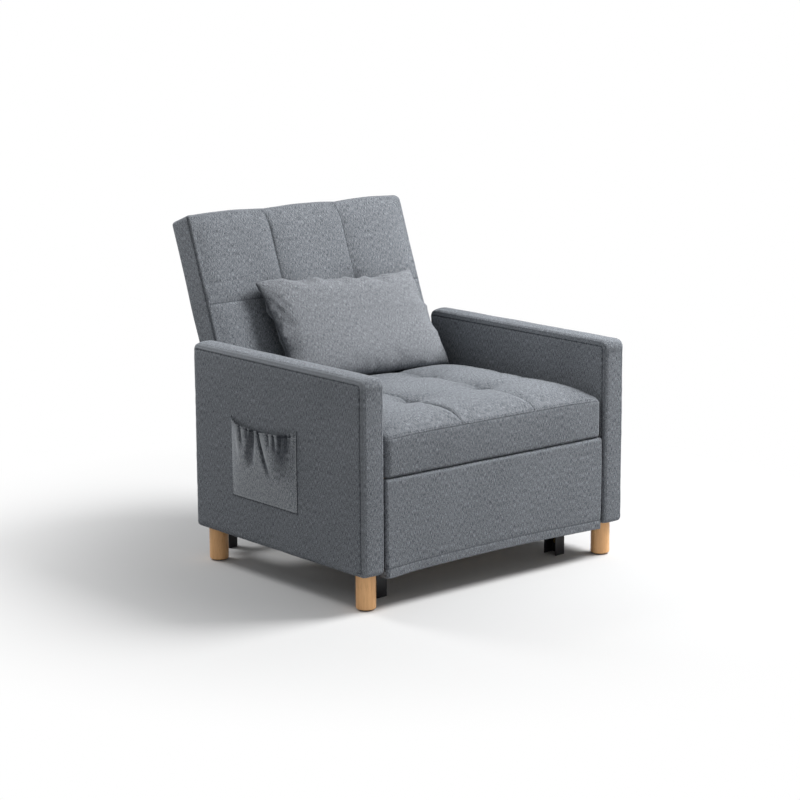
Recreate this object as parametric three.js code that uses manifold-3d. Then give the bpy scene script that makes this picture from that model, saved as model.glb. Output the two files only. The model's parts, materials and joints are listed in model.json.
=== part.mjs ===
// A convertible chair bed: an upholstered armchair whose front unit pulls out on steel feet
// and whose backrest reclines flat on two side hinges.
// Millimetres, +Z up, X across the chair, -Y towards the front.
// The origin lies on the floor, under the middle of the chair.
import * as THREE from 'three';
import { mergeVertices } from 'three/addons/utils/BufferGeometryUtils.js';
import Module from 'manifold-3d';

const wasm = await Module();
wasm.setup();

// Fit between pieces that rest on or face each other, and how far a cutter runs past a face.
const touch = 0.3;
const overrun = 5;

// Legs and glides: four turned wooden legs under the arms.
const legHeight = 90;
const legRadius = 25;
const legEdge = 3;
const legOffset = 5;
const legInsetFront = 41;
const legInsetRear = 45;
const glideRadius = 17;
const glideHeight = 3;

// Arms: two upholstered panels. Their height and depth follow from the seat and the hinges.
const chairWidth = 880;
const armThickness = 70;
const armAboveSeat = 139;
const armBehindHinge = 31.5;
const armTopRadius = 18;
const armBottomRadius = 12;
const armEdgeRadius = 5;
const armInner = chairWidth / 2 - armThickness;

// Base: steel rails along the arms, a bar at the front and one at the rear on two feet.
const baseRailClearance = 10;
const baseRailBottom = legHeight + baseRailClearance;
const baseRailHeight = 40;
const baseRailFront = 40;
const baseRailOverhang = 48;
const baseBarSize = 25;
const baseFrontBarSetback = 160;
const footInset = 65;
const footCentreX = armInner - footInset;
const rearFootWidth = 28;
const rearFootDepth = 24;
const steelWall = 2.5;
const tubeWall = 1.5;

// Slide rails: channels on the arms that guide the rear end of the pull-out unit.
const channelDepth = 20;
const channelHeight = 46;
const channelAboveRail = 20;
const channelBottom = baseRailBottom + baseRailHeight + channelAboveRail;
const channelFront = 24;
const channelRearRoom = 48;

// Pull-out unit: a tube frame on two channel feet, slats, a cushion and the front panel.
const tubeSize = 25;
const frameInChannel = 11;
const frameBottom = channelBottom + frameInChannel;
const frontBarInset = 6;
const blockHeightClearance = 0.5;
const blockLength = 30;
const frontFootWidth = 32;
const frontFootDepth = 45;
const frontFootSetback = 95;
const bedSlatThickness = 9.7;
const bedSlatWidth = 60;
const bedSlatCount = 4;
const bedSideGap = 35;
const bedOverhang = 3;
const bedThickness = 92;
const bedCrown = 5;
const bedPuff = 4;
const bedEdgeRadius = 12;
const bedHeadroom = 9;
const bedBottom = frameBottom + tubeSize + bedSlatThickness + 2 * touch;

// Seat: a tufted cushion on sprung slats, carried by two rails on the arms.
const slatThickness = 11.4;
const slatWidth = 62;
const seatSlatCount = 5;
const seatBottom = bedBottom + bedThickness + bedCrown + bedPuff + bedHeadroom + slatThickness + touch;
const seatThickness = 108;
const seatHeight = seatBottom + seatThickness;
const seatSideGap = 8;
const seatFrontInset = 3;
const seatDepth = 603;
const seatCrown = 8;
const seatPuff = 7;
const seatEdgeRadius = 18;
const seatDrawIn = 3;
const seatSeamShares = [-0.326, 0.351];
const tuftDepth = 12;
const tuftSpread = 26;
const railThickness = 20;
const railHeight = 25;
const railFront = 20;
const railRearRoom = 3;
const railLength = seatDepth + railRearRoom;
const frameShorter = 31;
const frameLength = seatDepth - frameShorter;
const bedDepth = frameLength + bedOverhang;
const channelLength = frameLength + channelRearRoom;
const armTop = seatHeight + armAboveSeat;

// Front panel: a board with a cloth hung over it.
const boardThickness = 12;
const boardSetback = 6;
const boardSideGap = 12;
const boardTopGap = 6;
const boardAboveLeg = 22;
const skirtSideGap = 7;
const skirtTopGap = 3;
const skirtHang = 3;
const skirtBow = 7;
const skirtThickness = 4;
const skirtCornerRadius = 9;
const skirtEdgeRadius = 6;
const skirtHalfWidth = armInner - skirtSideGap;

// Backrest: a tufted cushion round a tube frame, hinged between the arms.
const backTilt = THREE.MathUtils.degToRad(20.5);
const backSideGap = 6;
const backHalfWidth = armInner - backSideGap;
const backThickness = 78;
const backCrown = 5;
const backPuff = 5;
const backEdgeRadius = 10;
const backSeamShares = [-0.302, 0.368];
const backSeamDrop = 245;
const hingeBehindSeat = 62.5;
const hingeY = seatFrontInset + seatDepth + hingeBehindSeat;
const armDepth = hingeY + armBehindHinge;
const hingeBelowSeat = 38;
const hingeZ = seatHeight - hingeBelowSeat;
const hingeDepth = 30;
const backAboveHinge = 518;
const backBelowHinge = 50;
const backFoam = 50;
const backRim = 12;
const panelThickness = 5;
const backTube = 20;
const uprightInset = 5;
const lowerBarAbove = 28;
const topBarDrop = 40;

// Hinges: a plate on each arm, a pin, and an arm bolted to the backrest's upright.
const plateThickness = 3;
const plateRadius = 19;
const plateWidth = 46;
const plateDrop = 92;
const toothCount = 6;
const toothDepth = 4;
const toothStep = THREE.MathUtils.degToRad(17);
const toothStart = THREE.MathUtils.degToRad(34);
const toothUndercutShare = 0.85;
const pinRadius = 5;
const pinHeadRadius = 8;
const pinHeadLength = 2;
const hingeArmRadius = 15;
const hingeArmLength = 110;
const hingeSlotRadius = 18;
const pinSlotHalf = 7;

// Throw pillow, leaning on the backrest.
const pillowInsetLeft = 155;
const pillowInsetRight = 55;
const pillowWidth = 2 * armInner - pillowInsetLeft - pillowInsetRight;
const pillowCentreX = (pillowInsetLeft - pillowInsetRight) / 2;
const pillowHeight = 305;
const pillowThickness = 80;
const pillowDrop = 24.5;
const pillowAbove = pillowHeight / 2 + hingeBelowSeat - pillowDrop;
const pillowGap = 12;
const pillowForward = hingeDepth + backCrown + backPuff + pillowThickness / 2 + pillowGap;
const pillowLean = THREE.MathUtils.degToRad(7.5);
const pillowRoll = THREE.MathUtils.degToRad(1.8);
const pillowCornerShare = 0.07;
const pillowEdgeShare = 0.1;

// Side pocket, sewn on the outer face of the left arm.
const pocketWidth = 275;
const pocketHeight = 206;
const pocketAboveLeg = 118;
const pocketBottom = legHeight + pocketAboveLeg;
const pocketFront = 258;
const pocketBulge = 13;
const pocketThickness = 2;
const pocketMouthDip = 16;
const gatherCount = 11;
const gatherShare = 0.16;
const gatherReachShare = 0.16;
const foldCount = 3.5;
const foldShare = 0.11;
const foldReachShare = 0.75;

const fabricGrey = { color: 0x6d747d, roughness: 0.95, metalness: 0 };
const pillowGrey = { color: 0x838a92, roughness: 0.95, metalness: 0 };
const beech = { color: 0xdcb27c, roughness: 0.5, metalness: 0 };
const birch = { color: 0xd9c19a, roughness: 0.6, metalness: 0 };
const blackSteel = { color: 0x17181a, roughness: 0.45, metalness: 0.7 };
const zincSteel = { color: 0xb5b8ba, roughness: 0.35, metalness: 1 };
const nylon = { color: 0x1e1f21, roughness: 0.6, metalness: 0 };
const clothBlack = { color: 0x202226, roughness: 0.95, metalness: 0 };

// A closed geometry as a solid that can be cut, and back.
function toSolid(geometry) {
  const bare = geometry.clone();
  bare.deleteAttribute('normal');
  bare.deleteAttribute('uv');
  const merged = mergeVertices(bare, 1e-4);
  const vertProperties = new Float32Array(merged.attributes.position.array);
  const triVerts = new Uint32Array(merged.index.array);
  return new wasm.Manifold(new wasm.Mesh({ numProp: 3, vertProperties, triVerts }));
}

function toGeometry(solid) {
  const mesh = solid.getMesh();
  const geometry = new THREE.BufferGeometry();
  geometry.setAttribute('position', new THREE.BufferAttribute(mesh.vertProperties, 3));
  geometry.setIndex(new THREE.BufferAttribute(mesh.triVerts, 1));
  geometry.computeVertexNormals();
  return geometry;
}

function cut(geometry, cutters) {
  let solid = toSolid(geometry);
  for (const cutter of cutters) {
    solid = solid.subtract(toSolid(cutter));
  }
  return toGeometry(solid);
}

function addPiece(parent, name, geometry, finish) {
  const mesh = new THREE.Mesh(geometry, new THREE.MeshStandardMaterial(finish));
  mesh.name = name;
  parent.add(mesh);
  return mesh;
}

// A block between two corners.
function block(low, high) {
  const size = high.map((value, axis) => value - low[axis]);
  const geometry = new THREE.BoxGeometry(...size);
  geometry.translate(...low.map((value, axis) => value + size[axis] / 2));
  return geometry;
}

// A straight tube between two corners, open at both ends of the axis that it runs along.
function tube(along, low, high) {
  const axis = ['x', 'y', 'z'].indexOf(along);
  const boreLow = low.map((value, index) => value + (index === axis ? -overrun : tubeWall));
  const boreHigh = high.map((value, index) => value - (index === axis ? -overrun : tubeWall));
  return cut(block(low, high), [block(boreLow, boreHigh)]);
}

// The corners of a piece on one side of the chair: side is -1 for the left, 1 for the right.
function sideCorners(side, inner, outer, low, high) {
  const from = side < 0 ? -outer : inner;
  const to = side < 0 ? -inner : outer;
  return [[from, ...low], [to, ...high]];
}

function sideBlock(side, inner, outer, low, high) {
  return block(...sideCorners(side, inner, outer, low, high));
}

function sideTube(along, side, inner, outer, low, high) {
  return tube(along, ...sideCorners(side, inner, outer, low, high));
}

// A flat outline extruded along X, its drawing plane standing as (Y, Z).
function extrudeAlongX(shape, length, options = {}) {
  const geometry = new THREE.ExtrudeGeometry(shape, {
    depth: length, bevelEnabled: false, curveSegments: 6, ...options,
  });
  geometry.rotateX(Math.PI / 2);
  geometry.rotateZ(Math.PI / 2);
  return geometry;
}

// A flat outline drawn as (X, Z), extruded along Y.
function extrudeAlongY(shape, length, options = {}) {
  const geometry = new THREE.ExtrudeGeometry(shape, {
    depth: length, bevelEnabled: false, curveSegments: 6, ...options,
  });
  geometry.rotateX(Math.PI / 2);
  geometry.translate(0, length, 0);
  return geometry;
}

function roundedOutline(left, right, bottom, top, lowRadius, highRadius) {
  const shape = new THREE.Shape();
  shape.moveTo(left + lowRadius, bottom);
  shape.lineTo(right - lowRadius, bottom);
  shape.absarc(right - lowRadius, bottom + lowRadius, lowRadius, -Math.PI / 2, 0, false);
  shape.lineTo(right, top - highRadius);
  shape.absarc(right - highRadius, top - highRadius, highRadius, 0, Math.PI / 2, false);
  shape.lineTo(left + highRadius, top);
  shape.absarc(left + highRadius, top - highRadius, highRadius, Math.PI / 2, Math.PI, false);
  shape.lineTo(left, bottom + lowRadius);
  shape.absarc(left + lowRadius, bottom + lowRadius, lowRadius, Math.PI, Math.PI * 1.5, false);
  return shape;
}

// Places of the mesh lines along one axis of a padded block: close together at the soft edges,
// and one line on each seam between them.
function meshLines(low, high, radius, seams, runs) {
  const edgeSteps = 2;
  const places = [];
  for (let step = 0; step < edgeSteps; step += 1) {
    places.push(low + (radius * step) / edgeSteps);
  }
  const stops = [low + radius, ...seams, high - radius];
  for (let stop = 0; stop + 1 < stops.length; stop += 1) {
    for (let step = 0; step < runs; step += 1) {
      places.push(stops[stop] + ((stops[stop + 1] - stops[stop]) * step) / runs);
    }
  }
  for (let step = 0; step <= edgeSteps; step += 1) {
    places.push(high - radius + (radius * step) / edgeSteps);
  }
  return places;
}

// How full a panel stands at a place: 1 in the middle of each panel, 0 on its seams and edges.
function fullness(place, stops) {
  for (let stop = 0; stop + 1 < stops.length; stop += 1) {
    if (place >= stops[stop] && place <= stops[stop + 1]) {
      const middle = (stops[stop] + stops[stop + 1]) / 2;
      const share = (place - middle) / (stops[stop + 1] - middle);
      return 1 - share * share;
    }
  }
  return 0;
}

// A boxed cushion: soft edges, a crowned top in sewn panels, sides drawn in between its corners,
// and a tuft pulled down wherever two seams cross.
function cushion(size, radius, crown, puff, drawIn, seamsX, seamsY, runs) {
  const [width, depth, height] = size;
  const half = width / 2;
  const lines = [
    meshLines(-half, half, radius, seamsX, runs[0]),
    meshLines(0, depth, radius, seamsY, runs[1]),
    meshLines(0, height, radius, [], runs[2]),
  ];
  const counts = lines.map((places) => places.length - 1);
  const geometry = new THREE.BoxGeometry(1, 1, 1, ...counts);
  const position = geometry.attributes.position;
  const low = new THREE.Vector3(radius - half, radius, radius);
  const high = new THREE.Vector3(half - radius, depth - radius, height - radius);
  const point = new THREE.Vector3();
  const core = new THREE.Vector3();
  for (let index = 0; index < position.count; index += 1) {
    point.fromBufferAttribute(position, index);
    const place = point.toArray().map((share, axis) => (
      lines[axis][Math.round((share + 1 / 2) * counts[axis])]
    ));
    point.fromArray(place);
    core.copy(point).clamp(low, high);
    const rounded = point.clone().sub(core).setLength(radius).add(core);
    const shareX = place[0] / half;
    const shareY = (place[1] * 2) / depth - 1;
    const upper = THREE.MathUtils.clamp(place[2] / height, 0, 1) ** 6;
    const dome = (1 - shareX ** 8) * (1 - shareY ** 8);
    const panels = fullness(place[0], [-half, ...seamsX, half])
      * fullness(place[1], [0, ...seamsY, depth]) ** (seamsY.length > 0 ? 1 : 1 / 3);
    let lift = crown * dome + puff * panels;
    for (const seamX of seamsX) {
      for (const seamY of seamsY) {
        const away = Math.hypot(place[0] - seamX, place[1] - seamY);
        lift -= tuftDepth * Math.exp(-((away / tuftSpread) ** 2));
      }
    }
    const waist = Math.sin((Math.PI * place[2]) / height);
    rounded.x -= Math.sign(shareX) * drawIn * waist * Math.abs(shareX) ** 9 * (1 - shareY ** 2);
    rounded.y -= Math.sign(shareY) * drawIn * waist * Math.abs(shareY) ** 9 * (1 - shareX ** 2);
    rounded.z += upper * lift;
    position.setXYZ(index, ...rounded.toArray());
  }
  return mergeVertices(stripped(geometry), 1e-4);
}

function stripped(geometry) {
  geometry.deleteAttribute('normal');
  geometry.deleteAttribute('uv');
  return geometry;
}

// One arm, seen from the side as a panel with rounded corners.
function armGeometry() {
  const shape = roundedOutline(
    armEdgeRadius, armDepth - armEdgeRadius, legHeight + armEdgeRadius, armTop - armEdgeRadius,
    armBottomRadius, armTopRadius,
  );
  const geometry = extrudeAlongX(shape, armThickness - 2 * armEdgeRadius, {
    bevelEnabled: true, bevelThickness: armEdgeRadius, bevelSize: armEdgeRadius, bevelSegments: 3,
  });
  geometry.translate(armInner + armEdgeRadius, 0, 0);
  return geometry;
}

function turned(points, segments) {
  const geometry = new THREE.LatheGeometry(points.map(([r, z]) => new THREE.Vector2(r, z)), segments);
  geometry.rotateX(Math.PI / 2);
  return geometry;
}

function legGeometry() {
  const top = legHeight - touch;
  return turned([
    [0, glideHeight], [legRadius - legEdge, glideHeight], [legRadius, glideHeight + legEdge],
    [legRadius, top], [0, top],
  ], 40);
}

function glideGeometry() {
  return turned([
    [0, 0], [glideRadius, 0], [glideRadius, glideHeight - touch], [0, glideHeight - touch],
  ], 24);
}

function buildArms(parent) {
  for (const [word, side] of [['left', -1], ['right', 1]]) {
    const arm = armGeometry();
    if (side < 0) {
      arm.translate(-(armInner + chairWidth / 2), 0, 0);
    }
    addPiece(parent, `arm_${word}`, arm, fabricGrey);
    const legX = side * (chairWidth / 2 - armThickness / 2 - legOffset);
    for (const [end, legY] of [['front', legInsetFront], ['rear', armDepth - legInsetRear]]) {
      addPiece(parent, `leg_${end}_${word}`, legGeometry(), beech).position.set(legX, legY, 0);
      const glide = addPiece(parent, `leg_glide_${end}_${word}`, glideGeometry(), nylon);
      glide.position.set(legX, legY, 0);
    }
  }
}

// A C or U channel drawn round a box, open on one side.
function channelShape(width, height, wall) {
  const shape = new THREE.Shape();
  shape.moveTo(0, 0);
  shape.lineTo(width, 0);
  shape.lineTo(width, height);
  shape.lineTo(0, height);
  shape.lineTo(0, height - wall);
  shape.lineTo(width - wall, height - wall);
  shape.lineTo(width - wall, wall);
  shape.lineTo(0, wall);
  shape.closePath();
  return shape;
}

function mirrored(geometry) {
  const solid = toSolid(geometry).mirror([1, 0, 0]);
  return toGeometry(solid);
}

function onSide(side, geometry) {
  return side < 0 ? mirrored(geometry) : geometry;
}

// A standing channel foot whose web faces outwards and which is open towards the middle.
function channelFoot(width, depth, low, high) {
  const geometry = new THREE.ExtrudeGeometry(channelShape(width, depth, steelWall), {
    depth: high - low, bevelEnabled: false,
  });
  geometry.translate(footCentreX - width / 2, 0, low);
  return geometry;
}

function buildBase(parent) {
  const outer = armInner - touch;
  const inner = outer - railThickness;
  const rearEnd = armDepth + baseRailOverhang;
  const barHalf = inner - touch;
  const barTop = baseRailBottom + baseBarSize;
  for (const [word, side] of [['left', -1], ['right', 1]]) {
    addPiece(parent, `base_rail_${word}`, sideTube(
      'y', side, inner, outer, [baseRailFront, baseRailBottom],
      [rearEnd, baseRailBottom + baseRailHeight],
    ), blackSteel);
    const foot = channelFoot(rearFootWidth, rearFootDepth, 0, baseRailBottom - touch);
    foot.translate(0, rearEnd - rearFootDepth, 0);
    addPiece(parent, `rear_foot_${word}`, onSide(side, foot), blackSteel);
    const channel = extrudeAlongY(
      channelShape(channelDepth, channelHeight, steelWall), channelLength,
    );
    channel.translate(inner, channelFront, channelBottom);
    addPiece(parent, `slide_rail_${word}`, onSide(side, channel), blackSteel);
    const seatRailTop = seatBottom - slatThickness - 2 * touch;
    addPiece(parent, `seat_rail_${word}`, sideTube(
      'y', side, inner, outer, [railFront, seatRailTop - railHeight],
      [railFront + railLength, seatRailTop],
    ), blackSteel);
  }
  addPiece(parent, 'base_bar_front', tube(
    'x', [-barHalf, baseFrontBarSetback, baseRailBottom],
    [barHalf, baseFrontBarSetback + baseBarSize, barTop],
  ), blackSteel);
  addPiece(parent, 'base_bar_rear', tube(
    'x', [-barHalf, rearEnd - baseBarSize, baseRailBottom], [barHalf, rearEnd, barTop],
  ), blackSteel);
}

// Slats spaced evenly over a run, each one a thin board with rounded ends.
function addSlats(parent, stem, count, half, from, to, bottom, width, thickness) {
  const pitch = (to - from - width) / (count - 1);
  for (let index = 0; index < count; index += 1) {
    const start = from + index * pitch;
    const outline = roundedOutline(-half, half, start, start + width, width / 6, width / 6);
    const slat = new THREE.ExtrudeGeometry(outline, {
      depth: thickness, bevelEnabled: false, curveSegments: 3,
    });
    slat.translate(0, 0, bottom);
    addPiece(parent, `${stem}_${index + 1}`, slat, birch);
  }
}

function buildSeat(parent) {
  addSlats(
    parent, 'seat_slat', seatSlatCount, armInner - touch, railFront + touch,
    railFront + railLength - slatWidth, seatBottom - slatThickness - touch, slatWidth,
    slatThickness,
  );
  const halfWidth = armInner - seatSideGap;
  const rowStep = seatDepth / 3;
  const seat = cushion(
    [2 * halfWidth, seatDepth, seatThickness], seatEdgeRadius, seatCrown, seatPuff, seatDrawIn,
    seatSeamShares.map((share) => share * halfWidth), [rowStep, 2 * rowStep], [5, 5, 2],
  );
  seat.translate(0, seatFrontInset, seatBottom);
  addPiece(parent, 'seat_cushion', seat, fabricGrey);
}

// How far the pocket's cloth falls back at a place: short gathers at the elastic in its mouth,
// and a few long folds that fan out below them.
function pocketFolds(across, up) {
  const below = 1 - up;
  const gathers = (1 + Math.sin(Math.PI * gatherCount * across)) / 2;
  const folds = (1 + Math.cos(Math.PI * foldCount * across * (1 - below / 6))) / 2;
  return gatherShare * gathers * Math.exp(-((below / gatherReachShare) ** 2))
    + foldShare * folds * Math.exp(-((below / foldReachShare) ** 2));
}

// The pocket is one sheet, sewn flat at its sides and bottom and gathered at its mouth.
function buildPocket(parent) {
  const geometry = new THREE.BoxGeometry(1, 1, 1, 1, 46, 11);
  const position = geometry.attributes.position;
  for (let index = 0; index < position.count; index += 1) {
    const across = position.getY(index) * 2;
    const up = position.getZ(index) + 1 / 2;
    const side = 1 - across ** 4;
    const bulge = pocketBulge * side * Math.sin((Math.PI / 2) * Math.min(1, up * 1.6));
    const standOff = bulge * (1 - pocketFolds(across, up));
    const skin = position.getX(index) < 0 ? pocketThickness : 0;
    const dip = pocketMouthDip * (1 - across ** 2) * up ** 4;
    position.setXYZ(
      index,
      -(chairWidth / 2 + touch + standOff + skin),
      pocketFront + (pocketWidth * (across + 1)) / 2,
      pocketBottom + pocketHeight * up - dip,
    );
  }
  addPiece(parent, 'side_pocket', mergeVertices(stripped(geometry), 1e-4), fabricGrey);
}

// The front unit: it slides forward as one, its rear end guided in the slide rails.
function buildPullOut(parent) {
  const frameTop = frameBottom + tubeSize;
  const tubeInner = footCentreX - tubeSize / 2;
  const tubeOuter = footCentreX + tubeSize / 2;
  const tubeFront = boardSetback + boardThickness + touch;
  const tubeRear = tubeFront + frameLength;
  const rearBarHalf = armInner - touch - channelDepth - 3 * touch;
  for (const [word, side] of [['left', -1], ['right', 1]]) {
    addPiece(parent, `pull_out_rail_${word}`, sideTube(
      'y', side, tubeInner, tubeOuter, [tubeFront, frameBottom], [tubeRear, frameTop],
    ), blackSteel);
    const foot = channelFoot(frontFootWidth, frontFootDepth, 0, frameBottom - touch);
    foot.translate(0, frontFootSetback, 0);
    addPiece(parent, `pull_out_foot_${word}`, onSide(side, foot), blackSteel);
    const blockRear = tubeRear + touch + tubeSize;
    addPiece(parent, `glide_block_${word}`, sideBlock(
      side, rearBarHalf + touch, armInner - touch - steelWall - 2 * touch,
      [blockRear - blockLength, channelBottom + steelWall + blockHeightClearance],
      [blockRear, channelBottom + channelHeight - steelWall - blockHeightClearance],
    ), nylon);
  }
  addPiece(parent, 'pull_out_bar_front', tube(
    'x', [touch - tubeInner, tubeFront + frontBarInset, frameBottom],
    [tubeInner - touch, tubeFront + frontBarInset + tubeSize, frameTop],
  ), blackSteel);
  addPiece(parent, 'pull_out_bar_rear', tube(
    'x', [-rearBarHalf, tubeRear + touch, frameBottom],
    [rearBarHalf, tubeRear + touch + tubeSize, frameTop],
  ), blackSteel);
  const slatBottom = frameTop + touch;
  addSlats(
    parent, 'bed_slat', bedSlatCount, tubeOuter, tubeFront + frontBarInset, tubeRear, slatBottom,
    bedSlatWidth, bedSlatThickness,
  );
  const bedHalfWidth = armInner - bedSideGap;
  const bed = cushion(
    [2 * bedHalfWidth, bedDepth, bedThickness], bedEdgeRadius, bedCrown, bedPuff, seatDrawIn,
    seatSeamShares.map((share) => share * bedHalfWidth), [], [4, 6, 2],
  );
  bed.translate(0, tubeFront + touch, bedBottom);
  addPiece(parent, 'bed_cushion', bed, fabricGrey);
  const boardHalfWidth = armInner - boardSideGap;
  addPiece(parent, 'front_board', block(
    [-boardHalfWidth, boardSetback, legHeight + boardAboveLeg],
    [boardHalfWidth, boardSetback + boardThickness, seatBottom - boardTopGap],
  ), birch);
  buildSkirt(parent);
}

// The front cover: a cloth that turns over the board's top and round its ends and hangs below it
// with a gently bowed lower edge.
function buildSkirt(parent) {
  const radius = skirtCornerRadius;
  const skirtTop = seatBottom - skirtTopGap;
  const skirtBottom = legHeight - skirtHang;
  const shape = new THREE.Shape();
  shape.moveTo(-skirtHalfWidth, skirtTop);
  shape.lineTo(-skirtHalfWidth, skirtBottom + radius);
  shape.absarc(radius - skirtHalfWidth, skirtBottom + radius, radius, Math.PI, Math.PI * 1.5, false);
  shape.quadraticCurveTo(0, skirtBottom - 2 * skirtBow, skirtHalfWidth - radius, skirtBottom);
  shape.absarc(skirtHalfWidth - radius, skirtBottom + radius, radius, -Math.PI / 2, 0, false);
  shape.lineTo(skirtHalfWidth, skirtTop);
  shape.closePath();
  const front = boardSetback - touch - skirtThickness;
  const rear = boardSetback + boardThickness;
  const slab = extrudeAlongY(shape, rear - front);
  slab.translate(0, front, 0);
  const plan = new THREE.ExtrudeGeometry(roundedOutline(
    -skirtHalfWidth, skirtHalfWidth, front, rear + overrun, skirtEdgeRadius, overrun,
  ), { depth: 2 * seatBottom, bevelEnabled: false, curveSegments: 5 });
  const boardHalfWidth = armInner - boardSideGap;
  const inside = block(
    [-boardHalfWidth - touch, boardSetback - touch, -overrun],
    [boardHalfWidth + touch, rear + overrun, seatBottom - boardTopGap + touch],
  );
  const cloth = toSolid(slab).intersect(toSolid(plan)).subtract(toSolid(inside));
  addPiece(parent, 'front_skirt', toGeometry(cloth), fabricGrey);
}

// The backrest is built upright round its hinge line: X across, +Y to the rear, +Z up.
function buildBackrest(parent) {
  const rear = backThickness - hingeDepth;
  const frameFront = backFoam - hingeDepth;
  const panelFront = rear - panelThickness;
  const recessHalf = backHalfWidth - backRim;
  const recessLow = backRim - backBelowHinge;
  const recessHigh = backAboveHinge - backRim;
  const uprightOuter = recessHalf - plateThickness - uprightInset;
  const uprightInner = uprightOuter - backTube;
  addPiece(parent, 'back_cushion', backCushionGeometry(recessHalf, recessLow, recessHigh), fabricGrey);
  addPiece(parent, 'back_panel', block(
    [touch - recessHalf, panelFront, recessLow + touch],
    [recessHalf - touch, rear - touch, recessHigh - touch],
  ), clothBlack);
  const tubeFront = frameFront + touch;
  const tubeRear = tubeFront + backTube;
  const lowerBar = recessLow + touch;
  const upperBar = recessHigh - topBarDrop;
  for (const [word, side] of [['left', -1], ['right', 1]]) {
    addPiece(parent, `back_upright_${word}`, sideTube(
      'z', side, uprightInner, uprightOuter, [tubeFront, lowerBar], [tubeRear, recessHigh - touch],
    ), blackSteel);
    addPiece(parent, `hinge_arm_${word}`, onSide(side, hingeArmGeometry(uprightOuter)), zincSteel);
  }
  for (const [word, low] of [['lower', lowerBar + lowerBarAbove], ['upper', upperBar]]) {
    addPiece(parent, `back_bar_${word}`, tube(
      'x', [touch - uprightInner, tubeFront, low], [uprightInner - touch, tubeRear, low + backTube],
    ), blackSteel);
  }
  buildPillow(parent);
}

// The cushion's foam and cover, hollowed at the rear for the frame and the rear panel,
// with a slot on each side for the hinge arm and its pin.
function backCushionGeometry(recessHalf, recessLow, recessHigh) {
  const height = backAboveHinge + backBelowHinge;
  const seamHeight = height - backSeamDrop;
  const geometry = cushion(
    [2 * backHalfWidth, height, backThickness], backEdgeRadius, backCrown, backPuff, 0,
    backSeamShares.map((share) => share * backHalfWidth), [seamHeight], [5, 8, 2],
  );
  geometry.rotateX(Math.PI / 2);
  geometry.translate(0, backThickness - hingeDepth, -backBelowHinge);
  const frameFront = backFoam - hingeDepth;
  const rear = backThickness - hingeDepth + overrun;
  const cutters = [block([-recessHalf, frameFront, recessLow], [recessHalf, rear, recessHigh])];
  for (const side of [-1, 1]) {
    cutters.push(sideBlock(
      side, recessHalf - plateThickness - uprightInset, recessHalf,
      [-hingeSlotRadius, -hingeSlotRadius], [rear, hingeSlotRadius],
    ));
    cutters.push(sideBlock(
      side, recessHalf - touch, backHalfWidth + overrun,
      [-pinSlotHalf, -pinSlotHalf], [rear, pinSlotHalf],
    ));
  }
  return cut(geometry, cutters);
}

// A flat steel arm: an eye round the pin and a tail along the outer side of the upright.
function hingeArmGeometry(uprightOuter) {
  const tailFront = backFoam - hingeDepth + touch;
  const tailRear = tailFront + backTube;
  const shape = new THREE.Shape();
  shape.moveTo(tailRear, 0);
  shape.lineTo(tailRear, hingeArmLength);
  shape.lineTo(tailFront, hingeArmLength);
  shape.lineTo(tailFront, hingeArmRadius);
  shape.lineTo(0, hingeArmRadius);
  shape.absarc(0, 0, hingeArmRadius, Math.PI / 2, Math.PI * 1.5, false);
  shape.lineTo(tailFront, -hingeArmRadius);
  shape.closePath();
  const hole = new THREE.Path();
  hole.absarc(0, 0, pinRadius + touch, 0, Math.PI * 2, true);
  shape.holes.push(hole);
  const geometry = extrudeAlongX(shape, plateThickness, { curveSegments: 12 });
  geometry.translate(uprightOuter + touch, 0, 0);
  return geometry;
}

// A knife-edged pillow: two domed faces that meet in a seam, drawn in between pointed corners.
function buildPillow(parent) {
  const runs = 22;
  const geometry = new THREE.BoxGeometry(1, 1, 1, runs, 2, runs);
  const position = geometry.attributes.position;
  for (let index = 0; index < position.count; index += 1) {
    const across = position.getX(index) * 2;
    const up = position.getZ(index) * 2;
    const face = position.getY(index) * 2;
    const fill = ((1 - across ** 4) * (1 - up ** 4)) ** (1 / 2);
    const edge = pillowEdgeShare * (1 - Math.max(across ** 2, up ** 2));
    const domed = Math.max(fill, edge);
    position.setXYZ(
      index,
      (pillowWidth / 2) * across * (1 - pillowCornerShare * (1 - up ** 2) * across ** 2),
      (pillowThickness / 2) * face * (domed + pillowEdgeShare / 2),
      (pillowHeight / 2) * up * (1 - pillowCornerShare * (1 - across ** 2) * up ** 2),
    );
  }
  const pillow = addPiece(
    parent, 'throw_pillow', mergeVertices(stripped(geometry), 1e-4), pillowGrey,
  );
  pillow.position.set(pillowCentreX, -pillowForward, pillowAbove);
  pillow.rotation.x = -pillowLean;
  pillow.rotateY(pillowRoll);
}

// The hinge plate's outline: its head carries saw teeth, one for each place that the backrest can
// be set to, with one steep and one slanting flank.
function ratchetOutline() {
  const shape = new THREE.Shape();
  const rim = plateRadius + toothDepth;
  const at = (radius, angle) => [radius * Math.cos(angle), radius * Math.sin(angle)];
  shape.moveTo(-plateWidth / 2, -plateDrop);
  shape.lineTo(plateWidth / 2, -plateDrop);
  shape.lineTo(rim, 0);
  shape.absarc(0, 0, rim, 0, toothStart, false);
  for (let tooth = 0; tooth < toothCount; tooth += 1) {
    const start = toothStart + tooth * toothStep;
    shape.lineTo(...at(plateRadius, start + toothStep * (1 - toothUndercutShare)));
    shape.lineTo(...at(rim, start + toothStep));
  }
  shape.absarc(0, 0, rim, toothStart + toothCount * toothStep, Math.PI, false);
  shape.closePath();
  return shape;
}

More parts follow.
